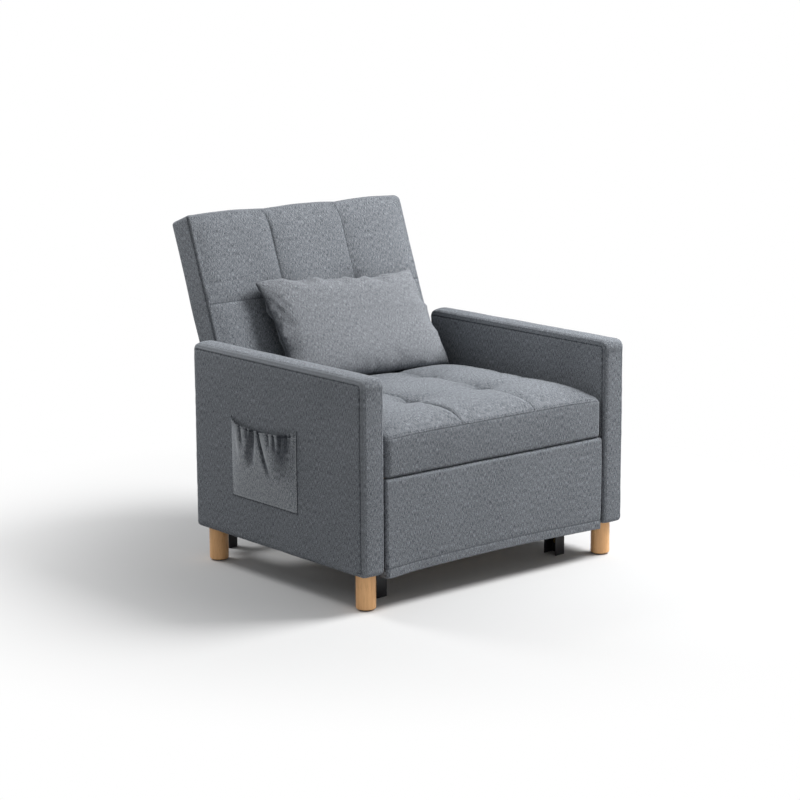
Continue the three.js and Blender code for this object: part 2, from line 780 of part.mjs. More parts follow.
function buildHinges(parent) {
  const outer = armInner - touch;
  const recessHalf = backHalfWidth - backRim;
  for (const [word, side] of [['left', -1], ['right', 1]]) {
    const shape = ratchetOutline();
    const hole = new THREE.Path();
    hole.absarc(0, 0, pinRadius + touch, 0, Math.PI * 2, true);
    shape.holes.push(hole);
    const plate = extrudeAlongX(shape, plateThickness, { curveSegments: 12 });
    plate.translate(outer - plateThickness, hingeY, hingeZ);
    addPiece(parent, `hinge_plate_${word}`, onSide(side, plate), zincSteel);
    const armFace = recessHalf - plateThickness - uprightInset + touch;
    const headEnd = armFace + plateThickness + touch + pinHeadLength;
    const pin = turned([
      [0, armFace], [pinRadius, armFace], [pinRadius, headEnd - pinHeadLength],
      [pinHeadRadius, headEnd - pinHeadLength], [pinHeadRadius, headEnd], [pinRadius, headEnd],
      [pinRadius, outer], [0, outer],
    ], 24);
    pin.rotateY(Math.PI / 2);
    pin.translate(0, hingeY, hingeZ);
    addPiece(parent, `hinge_pin_${word}`, onSide(side, pin), zincSteel);
  }
}

// The whole chair, first with its front at Y = 0, then centred over the origin.
const chair = new THREE.Group();
chair.name = 'convertible_chair_bed';
const rearmost = hingeY + backAboveHinge * Math.sin(backTilt)
  + (backThickness - hingeDepth) * Math.cos(backTilt);
chair.position.y = -rearmost / 2;

buildArms(chair);
buildBase(chair);
buildSeat(chair);
buildPocket(chair);
buildHinges(chair);
buildPullOut(chair);
const backrest = new THREE.Group();
backrest.position.set(0, hingeY, hingeZ);
backrest.rotation.x = -backTilt;
buildBackrest(backrest);
chair.add(backrest);

export default chair;
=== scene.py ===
# %% [markdown]
# # A convertible chair bed, dressed for the camera
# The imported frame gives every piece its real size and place. This script keeps that frame as it
# is and makes what the eye sees around it: sewn cushions, arms with seams, a hanging front
# panel, a gathered pocket, a stuffed pillow, turned legs and coated steel.

# %% Load the frame
import json
import math
import bmesh
import bpy
import numpy as np
from mathutils import Matrix, Vector
from mathutils.bvhtree import BVHTree

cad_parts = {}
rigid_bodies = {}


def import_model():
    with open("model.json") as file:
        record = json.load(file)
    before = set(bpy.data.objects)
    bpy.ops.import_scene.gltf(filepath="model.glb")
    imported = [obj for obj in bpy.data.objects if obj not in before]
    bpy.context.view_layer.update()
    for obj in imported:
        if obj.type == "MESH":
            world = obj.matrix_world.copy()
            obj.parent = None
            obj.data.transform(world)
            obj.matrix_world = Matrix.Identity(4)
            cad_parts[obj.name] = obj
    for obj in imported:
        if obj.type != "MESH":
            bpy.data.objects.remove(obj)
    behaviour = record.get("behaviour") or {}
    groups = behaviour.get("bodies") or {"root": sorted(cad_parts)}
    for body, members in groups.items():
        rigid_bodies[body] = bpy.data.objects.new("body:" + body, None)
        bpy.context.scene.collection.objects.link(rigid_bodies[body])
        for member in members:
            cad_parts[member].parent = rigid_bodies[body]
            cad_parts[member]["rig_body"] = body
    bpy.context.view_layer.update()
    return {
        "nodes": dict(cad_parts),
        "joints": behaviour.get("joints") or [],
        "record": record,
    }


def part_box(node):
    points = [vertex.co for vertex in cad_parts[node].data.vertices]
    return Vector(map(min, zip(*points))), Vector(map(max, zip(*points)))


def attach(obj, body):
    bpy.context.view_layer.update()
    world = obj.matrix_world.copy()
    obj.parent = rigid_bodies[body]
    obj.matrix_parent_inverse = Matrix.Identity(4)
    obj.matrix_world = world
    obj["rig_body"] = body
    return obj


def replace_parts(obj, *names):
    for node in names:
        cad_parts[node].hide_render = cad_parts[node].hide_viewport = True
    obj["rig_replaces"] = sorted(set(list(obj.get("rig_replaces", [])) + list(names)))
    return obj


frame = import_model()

MM = 0.001
TINY = 1e-6
SIDES = (("left", -1), ("right", 1))

# %% [markdown]
# ## Arithmetic on shader sockets
# A cloth is mostly arithmetic: threads added to slubs, darkened in the seams. Wiring Math nodes
# by hand hides that, so a small class wraps one output socket, and +, - and * on it add the
# nodes. Every other node comes from one method, `node`, which sets its settings first. The
# world and the Geometry Nodes further down are trees of the same kind, so they share it.

# %% Sockets that can be added and multiplied
class Flow:
    """One output of a node tree, which can be used in a sum."""

    def __init__(self, graph, socket):
        self.graph, self.socket = graph, socket

    def __getitem__(self, output):
        """Another output of the same node."""
        return Flow(self.graph, self.socket.node.outputs[output])

    def __add__(self, other):
        return self.graph.math("ADD", self, other)

    def __sub__(self, other):
        return self.graph.math("SUBTRACT", self, other)

    def __rsub__(self, other):
        return self.graph.math("SUBTRACT", other, self)

    def __mul__(self, other):
        return self.graph.math("MULTIPLY", self, other)

    __radd__, __rmul__ = __add__, __mul__

    def swing(self, amount):
        """A noise between 0 and 1, made to swing about 0 by this much."""
        return (self - 0.5) * amount


class Graph:
    """A node tree under construction."""

    def __init__(self, tree):
        self.tree = tree
        tree.nodes.clear()

    def node(self, kind, settings=None, inputs=None):
        """A new node's first output. A list of inputs is linked to one socket in turn."""
        made = self.tree.nodes.new(kind)
        for name, value in (settings or {}).items():
            if name == "stops":
                ramp = made.color_ramp.elements
                while len(ramp) < len(value):
                    ramp.new(0.5)
                for stop, (place, color) in zip(ramp, value):
                    stop.position = place
                    stop.color = (*color, 1)
            else:
                setattr(made, name, value)
        for name, values in (inputs or {}).items():
            socket = made.inputs[name]
            for value in values if isinstance(values, list) else [values]:
                if isinstance(value, Flow):
                    self.tree.links.new(value.socket, socket)
                elif isinstance(value, tuple) and socket.type == "RGBA":
                    socket.default_value = (*value, 1)
                else:
                    socket.default_value = value
        return Flow(self, made.outputs[0]) if len(made.outputs) else None

    def math(self, operation, *values):
        return self.node("ShaderNodeMath", {"operation": operation}, dict(enumerate(values)))


class Finish(Graph):
    """A material under construction."""

    def __init__(self, name):
        self.material = bpy.data.materials.new(name)
        self.material.use_nodes = True
        super().__init__(self.material.node_tree)

    def place(self):
        return self.node("ShaderNodeTexCoord")["Object"]

    def noise(self, vector, scale, detail=2.0, roughness=0.5):
        """Noise of one scale, or of one for each axis: a small one draws the pattern out."""
        if isinstance(scale, tuple):
            vector = self.node("ShaderNodeMapping", None, {"Vector": vector, "Scale": scale})
            scale = 1.0
        return self.node("ShaderNodeTexNoise", None, {
            "Vector": vector, "Scale": scale, "Detail": detail, "Roughness": roughness,
        })

    def ramp(self, factor, *stops):
        return self.node("ShaderNodeValToRGB", {"stops": stops}, {0: factor})

    def blend(self, kind, factor, first, second):
        return self.node("ShaderNodeMix", {"data_type": "RGBA", "blend_type": kind}, {
            0: factor, 6: first, 7: second,
        })[2]

    def bump(self, height, strength, distance, **normal):
        return self.node("ShaderNodeBump", None, {
            "Height": height, "Strength": strength, "Distance": distance, **normal,
        })

    def surface(self, inputs):
        shader = self.node("ShaderNodeBsdfPrincipled", None, inputs)
        self.node("ShaderNodeOutputMaterial", None, {"Surface": shader})
        return self.material


print("shader helpers ready")

# %% [markdown]
# ## The cloth
# The real cover is a plain weave of melange yarn: each thread is spun from dark and light
# fibres, so from a step away the grey breaks up into short streaks along both thread
# directions. The pattern runs on a UV map in metres, named `weave`, so that threads keep their
# size on every piece and turn with the panel they are on. A `seam` attribute holds painted shade:
# it darkens the cloth where it is drawn into a seam and where shade falls in tufts and folds, and
# where it is below 0 the cloth is painted paler, as a highlight on a lit fold or rim.
# A little sheen gives the fibres' soft edge.

# %% Woven melange cloth
def woven_cloth(name, dark, middle, light, contrast, thread=0.42 * MM):
    cloth = Finish(name)
    weave = cloth.node("ShaderNodeUVMap", {"uv_map": "weave"})

    def streaks(u, v):
        """Noise whose spots are u by v threads large."""
        return cloth.noise(weave, (1 / (u * thread), 1 / (v * thread), 1.0))

    warp, fine_warp = streaks(2.5, 26), streaks(1.8, 9)
    weft, fleck = streaks(12, 2.1), streaks(1.8, 2.2)
    cloud = cloth.noise(weave, (6.0, 4.0, 1.0), 3.0)
    mix = warp.swing(1.9) + fine_warp.swing(1.4) + weft.swing(1.2) + fleck.swing(0.9)
    tone = mix * contrast + 0.5 + cloud.swing(0.16)
    color = cloth.ramp(tone, (0.1, dark), (0.5, middle), (0.9, light))
    # Painted shade and highlight: the seam attribute darkens the colour above 0 and makes it paler below
    # 0.
    seam = cloth.node("ShaderNodeAttribute", {"attribute_name": "seam"})[2]
    color = cloth.blend("MULTIPLY", seam * 0.9, color, (0.16, 0.17, 0.19))
    color = cloth.blend("MIX", seam * -0.65, color, light)
    place = cloth.node("ShaderNodeSeparateXYZ", None, {0: weave})
    turn = 2 * math.pi / (2 * thread)
    over, under = (cloth.math("SINE", place[axis] * turn) for axis in (0, 1))
    height = over * under * 0.3 + mix * 0.6 + fleck * 0.4
    weave_bump = cloth.bump(height, 0.5, 0.3 * MM)
    soft = cloth.noise(weave, (38.0, 30.0, 1.0), 3.0)
    return cloth.surface({
        "Base Color": color, "Roughness": fleck.swing(0.2) + 0.92,
        "Normal": cloth.bump(soft, 0.16, 1.2 * MM, Normal=weave_bump),
        "Specular IOR Level": 0.2, "Sheen Weight": 0.1, "Sheen Roughness": 0.45,
        "Sheen Tint": (0.8, 0.88, 0.95),
    })


upholstery = woven_cloth(
    "upholstery_cloth", (0.052, 0.057, 0.066), (0.152, 0.164, 0.181), (0.3, 0.318, 0.342), 1.15,
)
pillow_cloth = woven_cloth(
    "pillow_cover_cloth", (0.07, 0.076, 0.086), (0.18, 0.19, 0.206), (0.33, 0.345, 0.368), 1.05,
)
# Painted light: the pocket is the same cloth as the arms in paler colours, for the light its folds
# catch.
pocket_cloth = woven_cloth(
    "pocket_patch_cloth", (0.075, 0.083, 0.095), (0.235, 0.251, 0.274), (0.45, 0.47, 0.495), 2.3,
)
lining = woven_cloth(
    "rear_panel_cloth", (0.052, 0.057, 0.066), (0.147, 0.158, 0.175), (0.29, 0.308, 0.33), 0.9,
)
print("cloths:", upholstery.name, pillow_cloth.name, pocket_cloth.name, lining.name)

# %% [markdown]
# ## Wood, steel and nylon
# Turned beech shows long fine pores along its grain. Birch slats show their plies on the edge.
# Powder coat is nearly black with a fine orange peel, zinc is pale and a little cloudy, and
# moulded nylon is dull. All of them read Object coordinates, since their meshes sit in place.

# %% Hard finishes
def beech_wood():
    wood = Finish("beech_lacquered")
    place = wood.place()
    grain = wood.noise(place, (90, 90, 5.0), 4.0, 0.6)
    pores = wood.noise(place, (900, 900, 42))
    rings = wood.noise(place, (26, 26, 1.2))
    color = wood.ramp(
        grain.swing(0.75) + rings.swing(0.6) + 0.5,
        (0.15, (0.72, 0.37, 0.155)), (0.5, (0.9, 0.515, 0.235)), (0.88, (0.95, 0.6, 0.31)),
    )
    flecks = wood.ramp(pores, (0.3, (0.66, 0.52, 0.4)), (0.42, (1, 1, 1)))
    return wood.surface({
        "Base Color": wood.blend("MULTIPLY", 0.75, color, flecks),
        "Roughness": grain.swing(0.15) + 0.42,
        "Normal": wood.bump(pores, 0.15, 0.1 * MM), "Specular IOR Level": 0.4,
    })


def birch_plywood():
    wood = Finish("birch_plywood")
    place = wood.place()
    face = wood.noise(place, (6, 130, 60), 4.0, 0.6)
    figure = wood.noise(place, (3, 22, 22), 3.0)
    plies = wood.node("ShaderNodeTexWave", {"bands_direction": "Z"}, {
        "Vector": place, "Scale": 170.0, "Distortion": 0.6, "Detail": 1.0,
    })["Fac"]
    facing = wood.node("ShaderNodeNewGeometry")["Normal"]
    flat = wood.math("ABSOLUTE", wood.node("ShaderNodeSeparateXYZ", None, {0: facing})["Z"])
    color = wood.ramp(
        face.swing(0.6) + figure.swing(0.7) + 0.5,
        (0.2, (0.52, 0.36, 0.2)), (0.55, (0.68, 0.51, 0.32)), (0.85, (0.78, 0.62, 0.42)),
    )
    edge = wood.ramp(plies, (0.3, (0.45, 0.36, 0.28)), (0.6, (1, 1, 1)))
    return wood.surface({
        "Base Color": wood.blend("MULTIPLY", (1 - flat) * 0.8, color, edge),
        "Roughness": face.swing(0.2) + 0.58, "Normal": wood.bump(face, 0.2, 0.2 * MM),
    })


def plain_finish(name, deep, pale, patches, grain, rough, relief, brushed=False, top=0.7, more=None):
    """A skin that runs from deep to pale in patches, with a fine grain in its relief."""
    skin = Finish(name)
    place = skin.place()
    patch, fine = skin.noise(place, *patches), skin.noise(place, grain)
    level, spread = rough
    strength, depth = relief
    return skin.surface({
        "Base Color": skin.ramp(patch, (0.3, deep), (top, pale)),
        "Roughness": (fine if brushed else patch).swing(spread) + level,
        "Normal": skin.bump(fine, strength, depth * MM), **(more or {}),
    })


def plated(name, deep, pale):
    return plain_finish(name, deep, pale, (60.0, 3.0), (400, 400, 30), (0.38, 0.25), (0.1, 0.08),
                        brushed=True, more={"Metallic": 1.0})


beech, birch = beech_wood(), birch_plywood()
black_coat = plain_finish("powder_coat_black", (0.009, 0.009, 0.011), (0.021, 0.021, 0.024),
                          (14.0, 4.0), 900.0, (0.42, 0.25), (0.12, 0.12), top=0.75)
nylon = plain_finish("nylon_black", (0.012, 0.012, 0.014), (0.02, 0.02, 0.022),
                     (25.0, 2.0), 1400.0, (0.6, 0.15), (0.2, 0.1))
zinc = plated("zinc_plated", (0.36, 0.37, 0.39), (0.52, 0.53, 0.54))
brass = plated("brass_plated", (0.42, 0.3, 0.13), (0.6, 0.44, 0.2))
thread = plain_finish("sewing_thread", (0.028, 0.031, 0.036), (0.06, 0.066, 0.076),
                      (700.0, 2.0), 700.0, (0.8, 0.2), (0.3, 0.1), more={"Sheen Weight": 0.2})
print("finishes:", [m.name for m in (beech, birch, black_coat, nylon, zinc, brass, thread)])

# %% [markdown]
# ## A sewn slab
# Arms, seat and backrest are all the same thing to an upholsterer: two flat faces joined by a
# strip of cloth, the boxing. So one class makes such a slab. It starts from a box of grid lines
# that crowd together where a seam will lie, rounds the outline and the edges, and remembers for
# each point how far it is from the edge seams. Every fold after that is a sum on those numbers.
# A subdivision surface could round the box too, but then the seams would drift with it.

# %% Grid lines and boxes of quads
def spaced(low, high, step, near=(), fine=1.7 * MM, growth=0.22):
    """Places from low to high, step apart, and closer together near the given places."""
    place = np.linspace(low, high, 6001)
    gap = np.full_like(place, step)
    for centre in near:
        gap = np.minimum(gap, fine + growth * np.abs(place - centre))
    count = np.concatenate([[0], np.cumsum(np.diff(place) * (1 / gap[1:] + 1 / gap[:-1]) / 2)])
    return np.interp(np.linspace(0, count[-1], int(round(count[-1])) + 1), count, place)


def box_of_quads(lines):
    """Points of a box's surface on these grid lines, its outward quads and each quad's axis."""
    counts = [len(line) for line in lines]
    quads, axes = [], []
    for axis in range(3):
        one, two = (axis + 1) % 3, (axis + 2) % 3
        rows, columns = np.meshgrid(np.arange(counts[one]), np.arange(counts[two]), indexing="ij")
        for at, order in ((counts[axis] - 1, 1), (0, -1)):
            index = np.zeros((*rows.shape, 3), int)
            index[..., axis], index[..., one], index[..., two] = at, rows, columns
            code = (index[..., 0] * counts[1] + index[..., 1]) * counts[2] + index[..., 2]
            quad = np.stack([code[:-1, :-1], code[1:, :-1], code[1:, 1:], code[:-1, 1:]], -1)
            quads.append(quad.reshape(-1, 4)[:, ::order])
            axes.append(np.full(len(quads[-1]), axis))
    codes, inverse = np.unique(np.concatenate(quads), return_inverse=True)
    index = [codes // (counts[1] * counts[2]), codes // counts[2] % counts[1], codes % counts[2]]
    points = np.stack([np.asarray(line)[i] for line, i in zip(lines, index)], 1)
    return points, inverse.reshape(-1, 4), np.concatenate(axes)


def point_normals(points, quads):
    corner = points[quads]
    face = np.cross(corner[:, 2] - corner[:, 0], corner[:, 3] - corner[:, 1])
    total = np.zeros_like(points)
    for column in range(4):
        np.add.at(total, quads[:, column], face)
    return total / np.maximum(np.linalg.norm(total, axis=1, keepdims=True), 1e-12)


def dent(distance, depth, width):
    """A groove: its depth at distance 0, gone by about twice its width."""
    return -depth * np.exp(-(distance / width) ** 2)


def ripple(points, wavelength, seed, count=7):
    """Gentle unevenness between -1 and 1, the same on every run."""
    random = np.random.default_rng(seed)
    total = np.zeros(len(points))
    for _ in range(count):
        direction = random.normal(size=3)
        direction *= random.uniform(0.6, 1.6) * 2 * math.pi / wavelength / np.linalg.norm(direction)
        total += np.sin(points @ direction + random.uniform(0, 2 * math.pi))
    return total / count ** 0.5


# %% The slab itself
class Slab:
    """A sewn slab: a and b lie in its faces, and c is its thickness, with the top face at high c."""

    def __init__(self, lines, corners, top_round, low_round=None):
        self.rest, self.quads, self.axes = box_of_quads(lines)
        self.low = np.array([line[0] for line in lines])
        self.high = np.array([line[-1] for line in lines])
        self.points = self.rest.copy()
        self.seam = np.zeros(len(self.rest))
        inward = self.round_outline(corners)
        self.top_edge = self.round_rim(1, top_round, inward)
        self.low_edge = self.round_rim(-1, low_round or top_round, inward)
        self.settle()

    def round_outline(self, corners):
        """Rounds the outline's corners, measures each point's inset, and gives its way in."""
        points, low, high = self.points, self.low[:2], self.high[:2]
        inset = np.minimum(points[:, :2] - low, high - points[:, :2])
        inward = np.zeros((len(points), 2))
        nearest, rows = np.argmin(inset, axis=1), np.arange(len(points))
        inward[rows, nearest] = np.sign(((low + high) / 2)[nearest] - points[rows, nearest])
        self.inset = inset.min(axis=1)
        for sides, radius in corners.items():
            sides = np.array(sides)
            core = np.where(sides > 0, high - radius, low + radius)
            reach = (points[:, :2] - core) * sides
            inside = (reach > 0).all(axis=1)
            square, round_ = reach[inside].max(axis=1), np.linalg.norm(reach[inside], axis=1)
            away = reach[inside] / round_[:, None]
            points[inside, :2] = core + sides * away * square[:, None]
            self.inset[inside] = radius - square
            inward[inside] = -away * sides
        return inward

    def round_rim(self, side, radius, inward):
        """Rounds one rim, and gives the way along the cloth from the middle of the rounding."""
        inset, height = self.inset, self.rest[:, 2] - self.low[2]
        if side > 0:
            height = self.high[2] - self.rest[:, 2]
        reach = radius - np.stack([inset, height], 1)
        inside = (reach > -TINY * MM).all(axis=1)
        turned = np.linalg.norm(reach[inside], axis=1)
        away = reach[inside] * radius / turned[:, None]
        self.points[inside, :2] += inward[inside] * (radius - away[:, :1] - inset[inside, None])
        self.points[inside, 2] = (self.high[2] - radius + away[:, 1]) if side > 0 else (
            self.low[2] + radius - away[:, 1])
        quarter = radius * math.pi / 4
        along = np.where(inset > height, quarter + inset - radius, -quarter - height + radius)
        along[inside] = -radius * (np.arctan2(away[:, 0], away[:, 1]) - math.pi / 4)
        return along

    def settle(self):
        """Works the normals out again, after points were moved by themselves."""
        self.normals = point_normals(self.points, self.quads)

    def push(self, amount):
        """Moves each point along its own normal."""
        self.points += self.normals * amount[:, None]

    # Paints shade along a line into the seam attribute.
    def darken(self, distance, width, dark=1.0):
        self.seam = np.maximum(self.seam, -dent(distance, dark, width))

    def groove(self, distance, depth, width, dark=1.0):
        """A sewn line: the cloth dips there, and the shade in the dip is painted into its colour."""
        self.push(dent(distance, depth, width))
        self.darken(distance, width * 0.55, dark)

    def mesh(self, name, place=lambda points: points):
        """The slab as an object; place turns slab coordinates into the chair's."""
        flat = np.zeros((len(self.quads), 4, 2))
        for axis, pair in enumerate(((2, 1), (0, 2), (0, 1))):
            on = self.axes == axis
            flat[on] = self.rest[self.quads[on]][..., pair]
        return soft_object(name, place(self.points), self.quads, flat, self.seam)


def all_corners(radius):
    return {(a, b): radius for a in (-1, 1) for b in (-1, 1)}


def in_scene(name, data):
    """An object round this mesh, curve, lamp or camera."""
    made = bpy.data.objects.new(name, data)
    bpy.context.scene.collection.objects.link(made)
    return made


def new_mesh(name, points, faces):
    mesh = bpy.data.meshes.new(name)
    mesh.from_pydata(points, [], faces)
    return mesh


def evaluated(made):
    """The object with its modifiers worked out."""
    return made.evaluated_get(bpy.context.evaluated_depsgraph_get())


def soft_object(name, points, faces, weave, seam):
    """A mesh with the two things the cloth needs: the weave map and the seam attribute of painted shade
    and highlight.
    """
    mesh = new_mesh(name, points.tolist(), faces.tolist())
    layer = mesh.uv_layers.new(name="weave")
    layer.data.foreach_set("uv", np.asarray(weave, np.float32).ravel())
    attribute = mesh.attributes.new("seam", "FLOAT", "POINT")
    attribute.data.foreach_set("value", np.asarray(seam, np.float32))
    mesh.polygons.foreach_set("use_smooth", np.full(len(mesh.polygons), True))
    mesh.update()
    return in_scene(name, mesh)


def dress(piece, finish, body, slot, *nodes):
    """Gives a finished piece its material, its body and the nodes it stands for; slot is not used."""
    piece.data.materials.clear()
    piece.data.materials.append(finish)
    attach(piece, body)
    if nodes:
        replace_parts(piece, *nodes)
    print(f"{piece.name}: {len(piece.data.polygons)} faces on {body}")
    return piece


print("slab class ready")

# %% [markdown]
# ## Filling a cushion
# Foam pushes its cover out between the seams. That is worth simulating: a coarse copy of the
# slab becomes cloth, all but its sewn top is pinned, and a little pressure blows up the panels.
# Cut a touch too large, the cloth also folds near the tufts, which no formula gives. The
# movement of the coarse copy is then carried over to the fine slab, so seams stay sharp. The
# movement is capped, since a cushion must stay in the room that its solid has.

# %% Cloth under pressure
FILL_FRAMES, SEWN_RIM, SEWN_LINE = 20, 7 * MM, 6.5 * MM


def blown(points, quads, pins, pressure, slack, frames, stiff=15.0, bend=0.5):
    """Blows a closed cover up with Blender's cloth and gives its points back."""
    cover = soft_object("cover", points, quads, np.zeros((len(quads), 4, 2)), np.zeros(len(points)))
    cloth = cover.modifiers.new("Cloth", "CLOTH")
    settings = cloth.settings
    settings.quality = 5
    settings.mass = 0.3
    settings.tension_stiffness = settings.compression_stiffness = stiff
    settings.shear_stiffness = stiff / 3
    settings.bending_stiffness = bend
    settings.shrink_min = -slack
    settings.use_pressure = True
    settings.uniform_pressure_force = pressure
    settings.effector_weights.gravity = 0
    if pins is not None:
        group = cover.vertex_groups.new(name="sewn")
        for index in np.flatnonzero(pins):
            group.add([int(index)], 1.0, "REPLACE")
        settings.vertex_group_mass = "sewn"
    cloth.point_cache.frame_start, cloth.point_cache.frame_end = 1, frames
    for step in range(1, frames + 1):
        bpy.context.scene.frame_set(step)
    result = np.array([v.co for v in evaluated(cover).data.vertices])
    cover.modifiers.clear()
    bpy.data.objects.remove(cover)
    bpy.context.scene.frame_set(1)
    return result


def carried(fine, coarse, moves):
    """The coarse slab's moves at each point of the fine one, by place on the flat box."""
    tree = BVHTree.FromPolygons(coarse.rest.tolist(), coarse.quads.tolist())
    found = [tree.find_nearest(Vector(point)) for point in fine.rest]
    place = np.array([hit[0] for hit in found])
    quad = coarse.quads[[hit[2] for hit in found]]
    corner, across, along = (coarse.rest[quad[:, k]] for k in (0, 1, 3))
    shares = []
    for side in (across - corner, along - corner):
        shares.append(np.clip(((place - corner) * side).sum(1) / (side ** 2).sum(1), 0, 1)[:, None])
    s, t = shares
    m = [moves[quad[:, k]] for k in range(4)]
    return (1 - s) * (1 - t) * m[0] + s * (1 - t) * m[1] + s * t * m[2] + (1 - s) * t * m[3]


def fill(fine, coarse, sewn, pressure, slack, cap):
    """Fills the fine slab as its coarse copy fills, which is held where it is sewn."""
    on_top = coarse.rest[:, 2] > coarse.high[2] - TINY
    pins = ~on_top | sewn | (np.abs(coarse.top_edge) < SEWN_RIM)
    moves = blown(coarse.points, coarse.quads, pins, pressure, slack, FILL_FRAMES) - coarse.points
    length = np.linalg.norm(moves, axis=1, keepdims=True)
    moves *= cap * np.tanh(length / cap) / np.maximum(length, 1e-9)
    fine.points += carried(fine, coarse, moves)
    fine.settle()
    most = 1000 * np.linalg.norm(moves, axis=1).max()
    print(f"filled {len(coarse.points)} points, moved up to {most:.1f} mm")

# %% [markdown]
# ## Stitches
# Top-stitching is the same small thing repeated thousands of times along a path, which is what
# Geometry Nodes are for. The tree below takes curves, drops a point every `Pitch`, and puts a
# little rounded thread on each, turned along the seam. The paths are found by dropping a line
# of points onto the finished cushion, so the thread lies on the cloth wherever it went.

# %% The stitching tree
def nodes_tree(name, source, sizes, result):
    """A Geometry Nodes tree with its sockets outside, and the outputs of its Group Input."""
    tree = bpy.data.node_groups.new(name, "GeometryNodeTree")
    socket = tree.interface.new_socket
    socket(source, in_out="INPUT", socket_type="NodeSocketGeometry")
    for size, value in sizes.items():
        socket(size, in_out="INPUT", socket_type="NodeSocketFloat").default_value = value
    socket(result, in_out="OUTPUT", socket_type="NodeSocketGeometry")
    graph = Graph(tree)
    return graph, graph.node("NodeGroupInput")


def spread(graph, finish, points, shape, facing, size=(1.0, 1.0, 1.0)):
    """Puts the shape on each point, its Z axis turned as facing says, and ends the tree."""
    turn = graph.node("FunctionNodeAlignRotationToVector", {"axis": "Z"}, {"Vector": facing})
    placed = graph.node("GeometryNodeInstanceOnPoints", None, {
        "Points": points, "Instance": shape, "Rotation": turn, "Scale": size,
    })
    real = graph.node("GeometryNodeRealizeInstances", None, {"Geometry": placed})
    done = graph.node("GeometryNodeSetMaterial", None, {"Geometry": real, "Material": finish})
    graph.node("NodeGroupOutput", None, {0: done})
    return graph.tree


def stitch_tree(finish):
    graph, given = nodes_tree("Top stitching", "Seams", {
        "Pitch": 6.2 * MM, "Thread Length": 4.6 * MM, "Thread Radius": 0.5 * MM,
    }, "Stitches")
    dots = graph.node("GeometryNodeCurveToPoints", {"mode": "LENGTH"}, {
        "Curve": given["Seams"], "Length": given["Pitch"],
    })
    bead = graph.node("GeometryNodeMeshUVSphere", None, {"Segments": 6, "Rings": 4, "Radius": 1.0})
    radius = given["Thread Radius"]
    size = graph.node("ShaderNodeCombineXYZ", None, {
        0: radius, 1: radius, 2: given["Thread Length"] * 0.5,
    })
    return spread(graph, finish, dots["Points"], bead, dots["Tangent"], size)


stitching = stitch_tree(thread)


def modified(source, tree, values, name):
    """Runs a Geometry Nodes tree on an object and gives the result back as a plain mesh."""
    modifier = source.modifiers.new("Nodes", "NODES")
    modifier.node_group = tree
    for item in tree.interface.items_tree:
        if item.in_out == "INPUT" and item.name in values:
            modifier[item.identifier] = values[item.name]
    bpy.context.view_layer.update()
    mesh = bpy.data.meshes.new_from_object(evaluated(source))
    source.modifiers.remove(modifier)
    bpy.data.objects.remove(source)
    mesh.name = name
    return in_scene(name, mesh)


def paths_object(paths):
    curve = bpy.data.curves.new("paths", "CURVE")
    curve.dimensions = "3D"
    for path in paths:
        spline = curve.splines.new("POLY")
        spline.points.add(len(path) - 1)
        spline.points.foreach_set("co", np.c_[path, np.ones(len(path))].ravel())
    return in_scene("paths", curve)


def laid_on(piece, points, lift=0.15 * MM):
    """Each point moved to the nearest place on a piece, lifted off it a little."""
    tree = BVHTree.FromObject(piece, bpy.context.evaluated_depsgraph_get())
    found = [tree.find_nearest(Vector(point)) for point in points]
    return np.array([np.array(hit[0]) + np.array(hit[1]) * lift for hit in found])


seam_paths = {"frame": [], "backrest": [], "pull_out": []}
print("stitching tree ready")

# %% [markdown]
# ## The arms
# Each arm is a panel of wood and thin foam in a cover of two faces and a boxing strip. The cover
# is pulled tight, so the faces stay flat and only their rims turn in at the seam. The strip is
# a little full on top, and a second line of stitches runs beside each seam.

# %% Arms
ARM_CORNER = {(-1, 1): 20 * MM, (1, 1): 18 * MM, (-1, -1): 12 * MM, (1, -1): 12 * MM}
ARM_EDGE = 11 * MM
ARM_SEAM = ARM_EDGE + MM
ARM_TOP, ARM_REAR = 30 * MM, 24 * MM


def corners_of(node):
    return (np.array(v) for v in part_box(node))


def rimmed(low, high, step, seams=(), fine=1.7 * MM):
    """Grid lines that crowd together at both ends and at the seams."""
    return spaced(low, high, step, (low, high, *seams), fine)


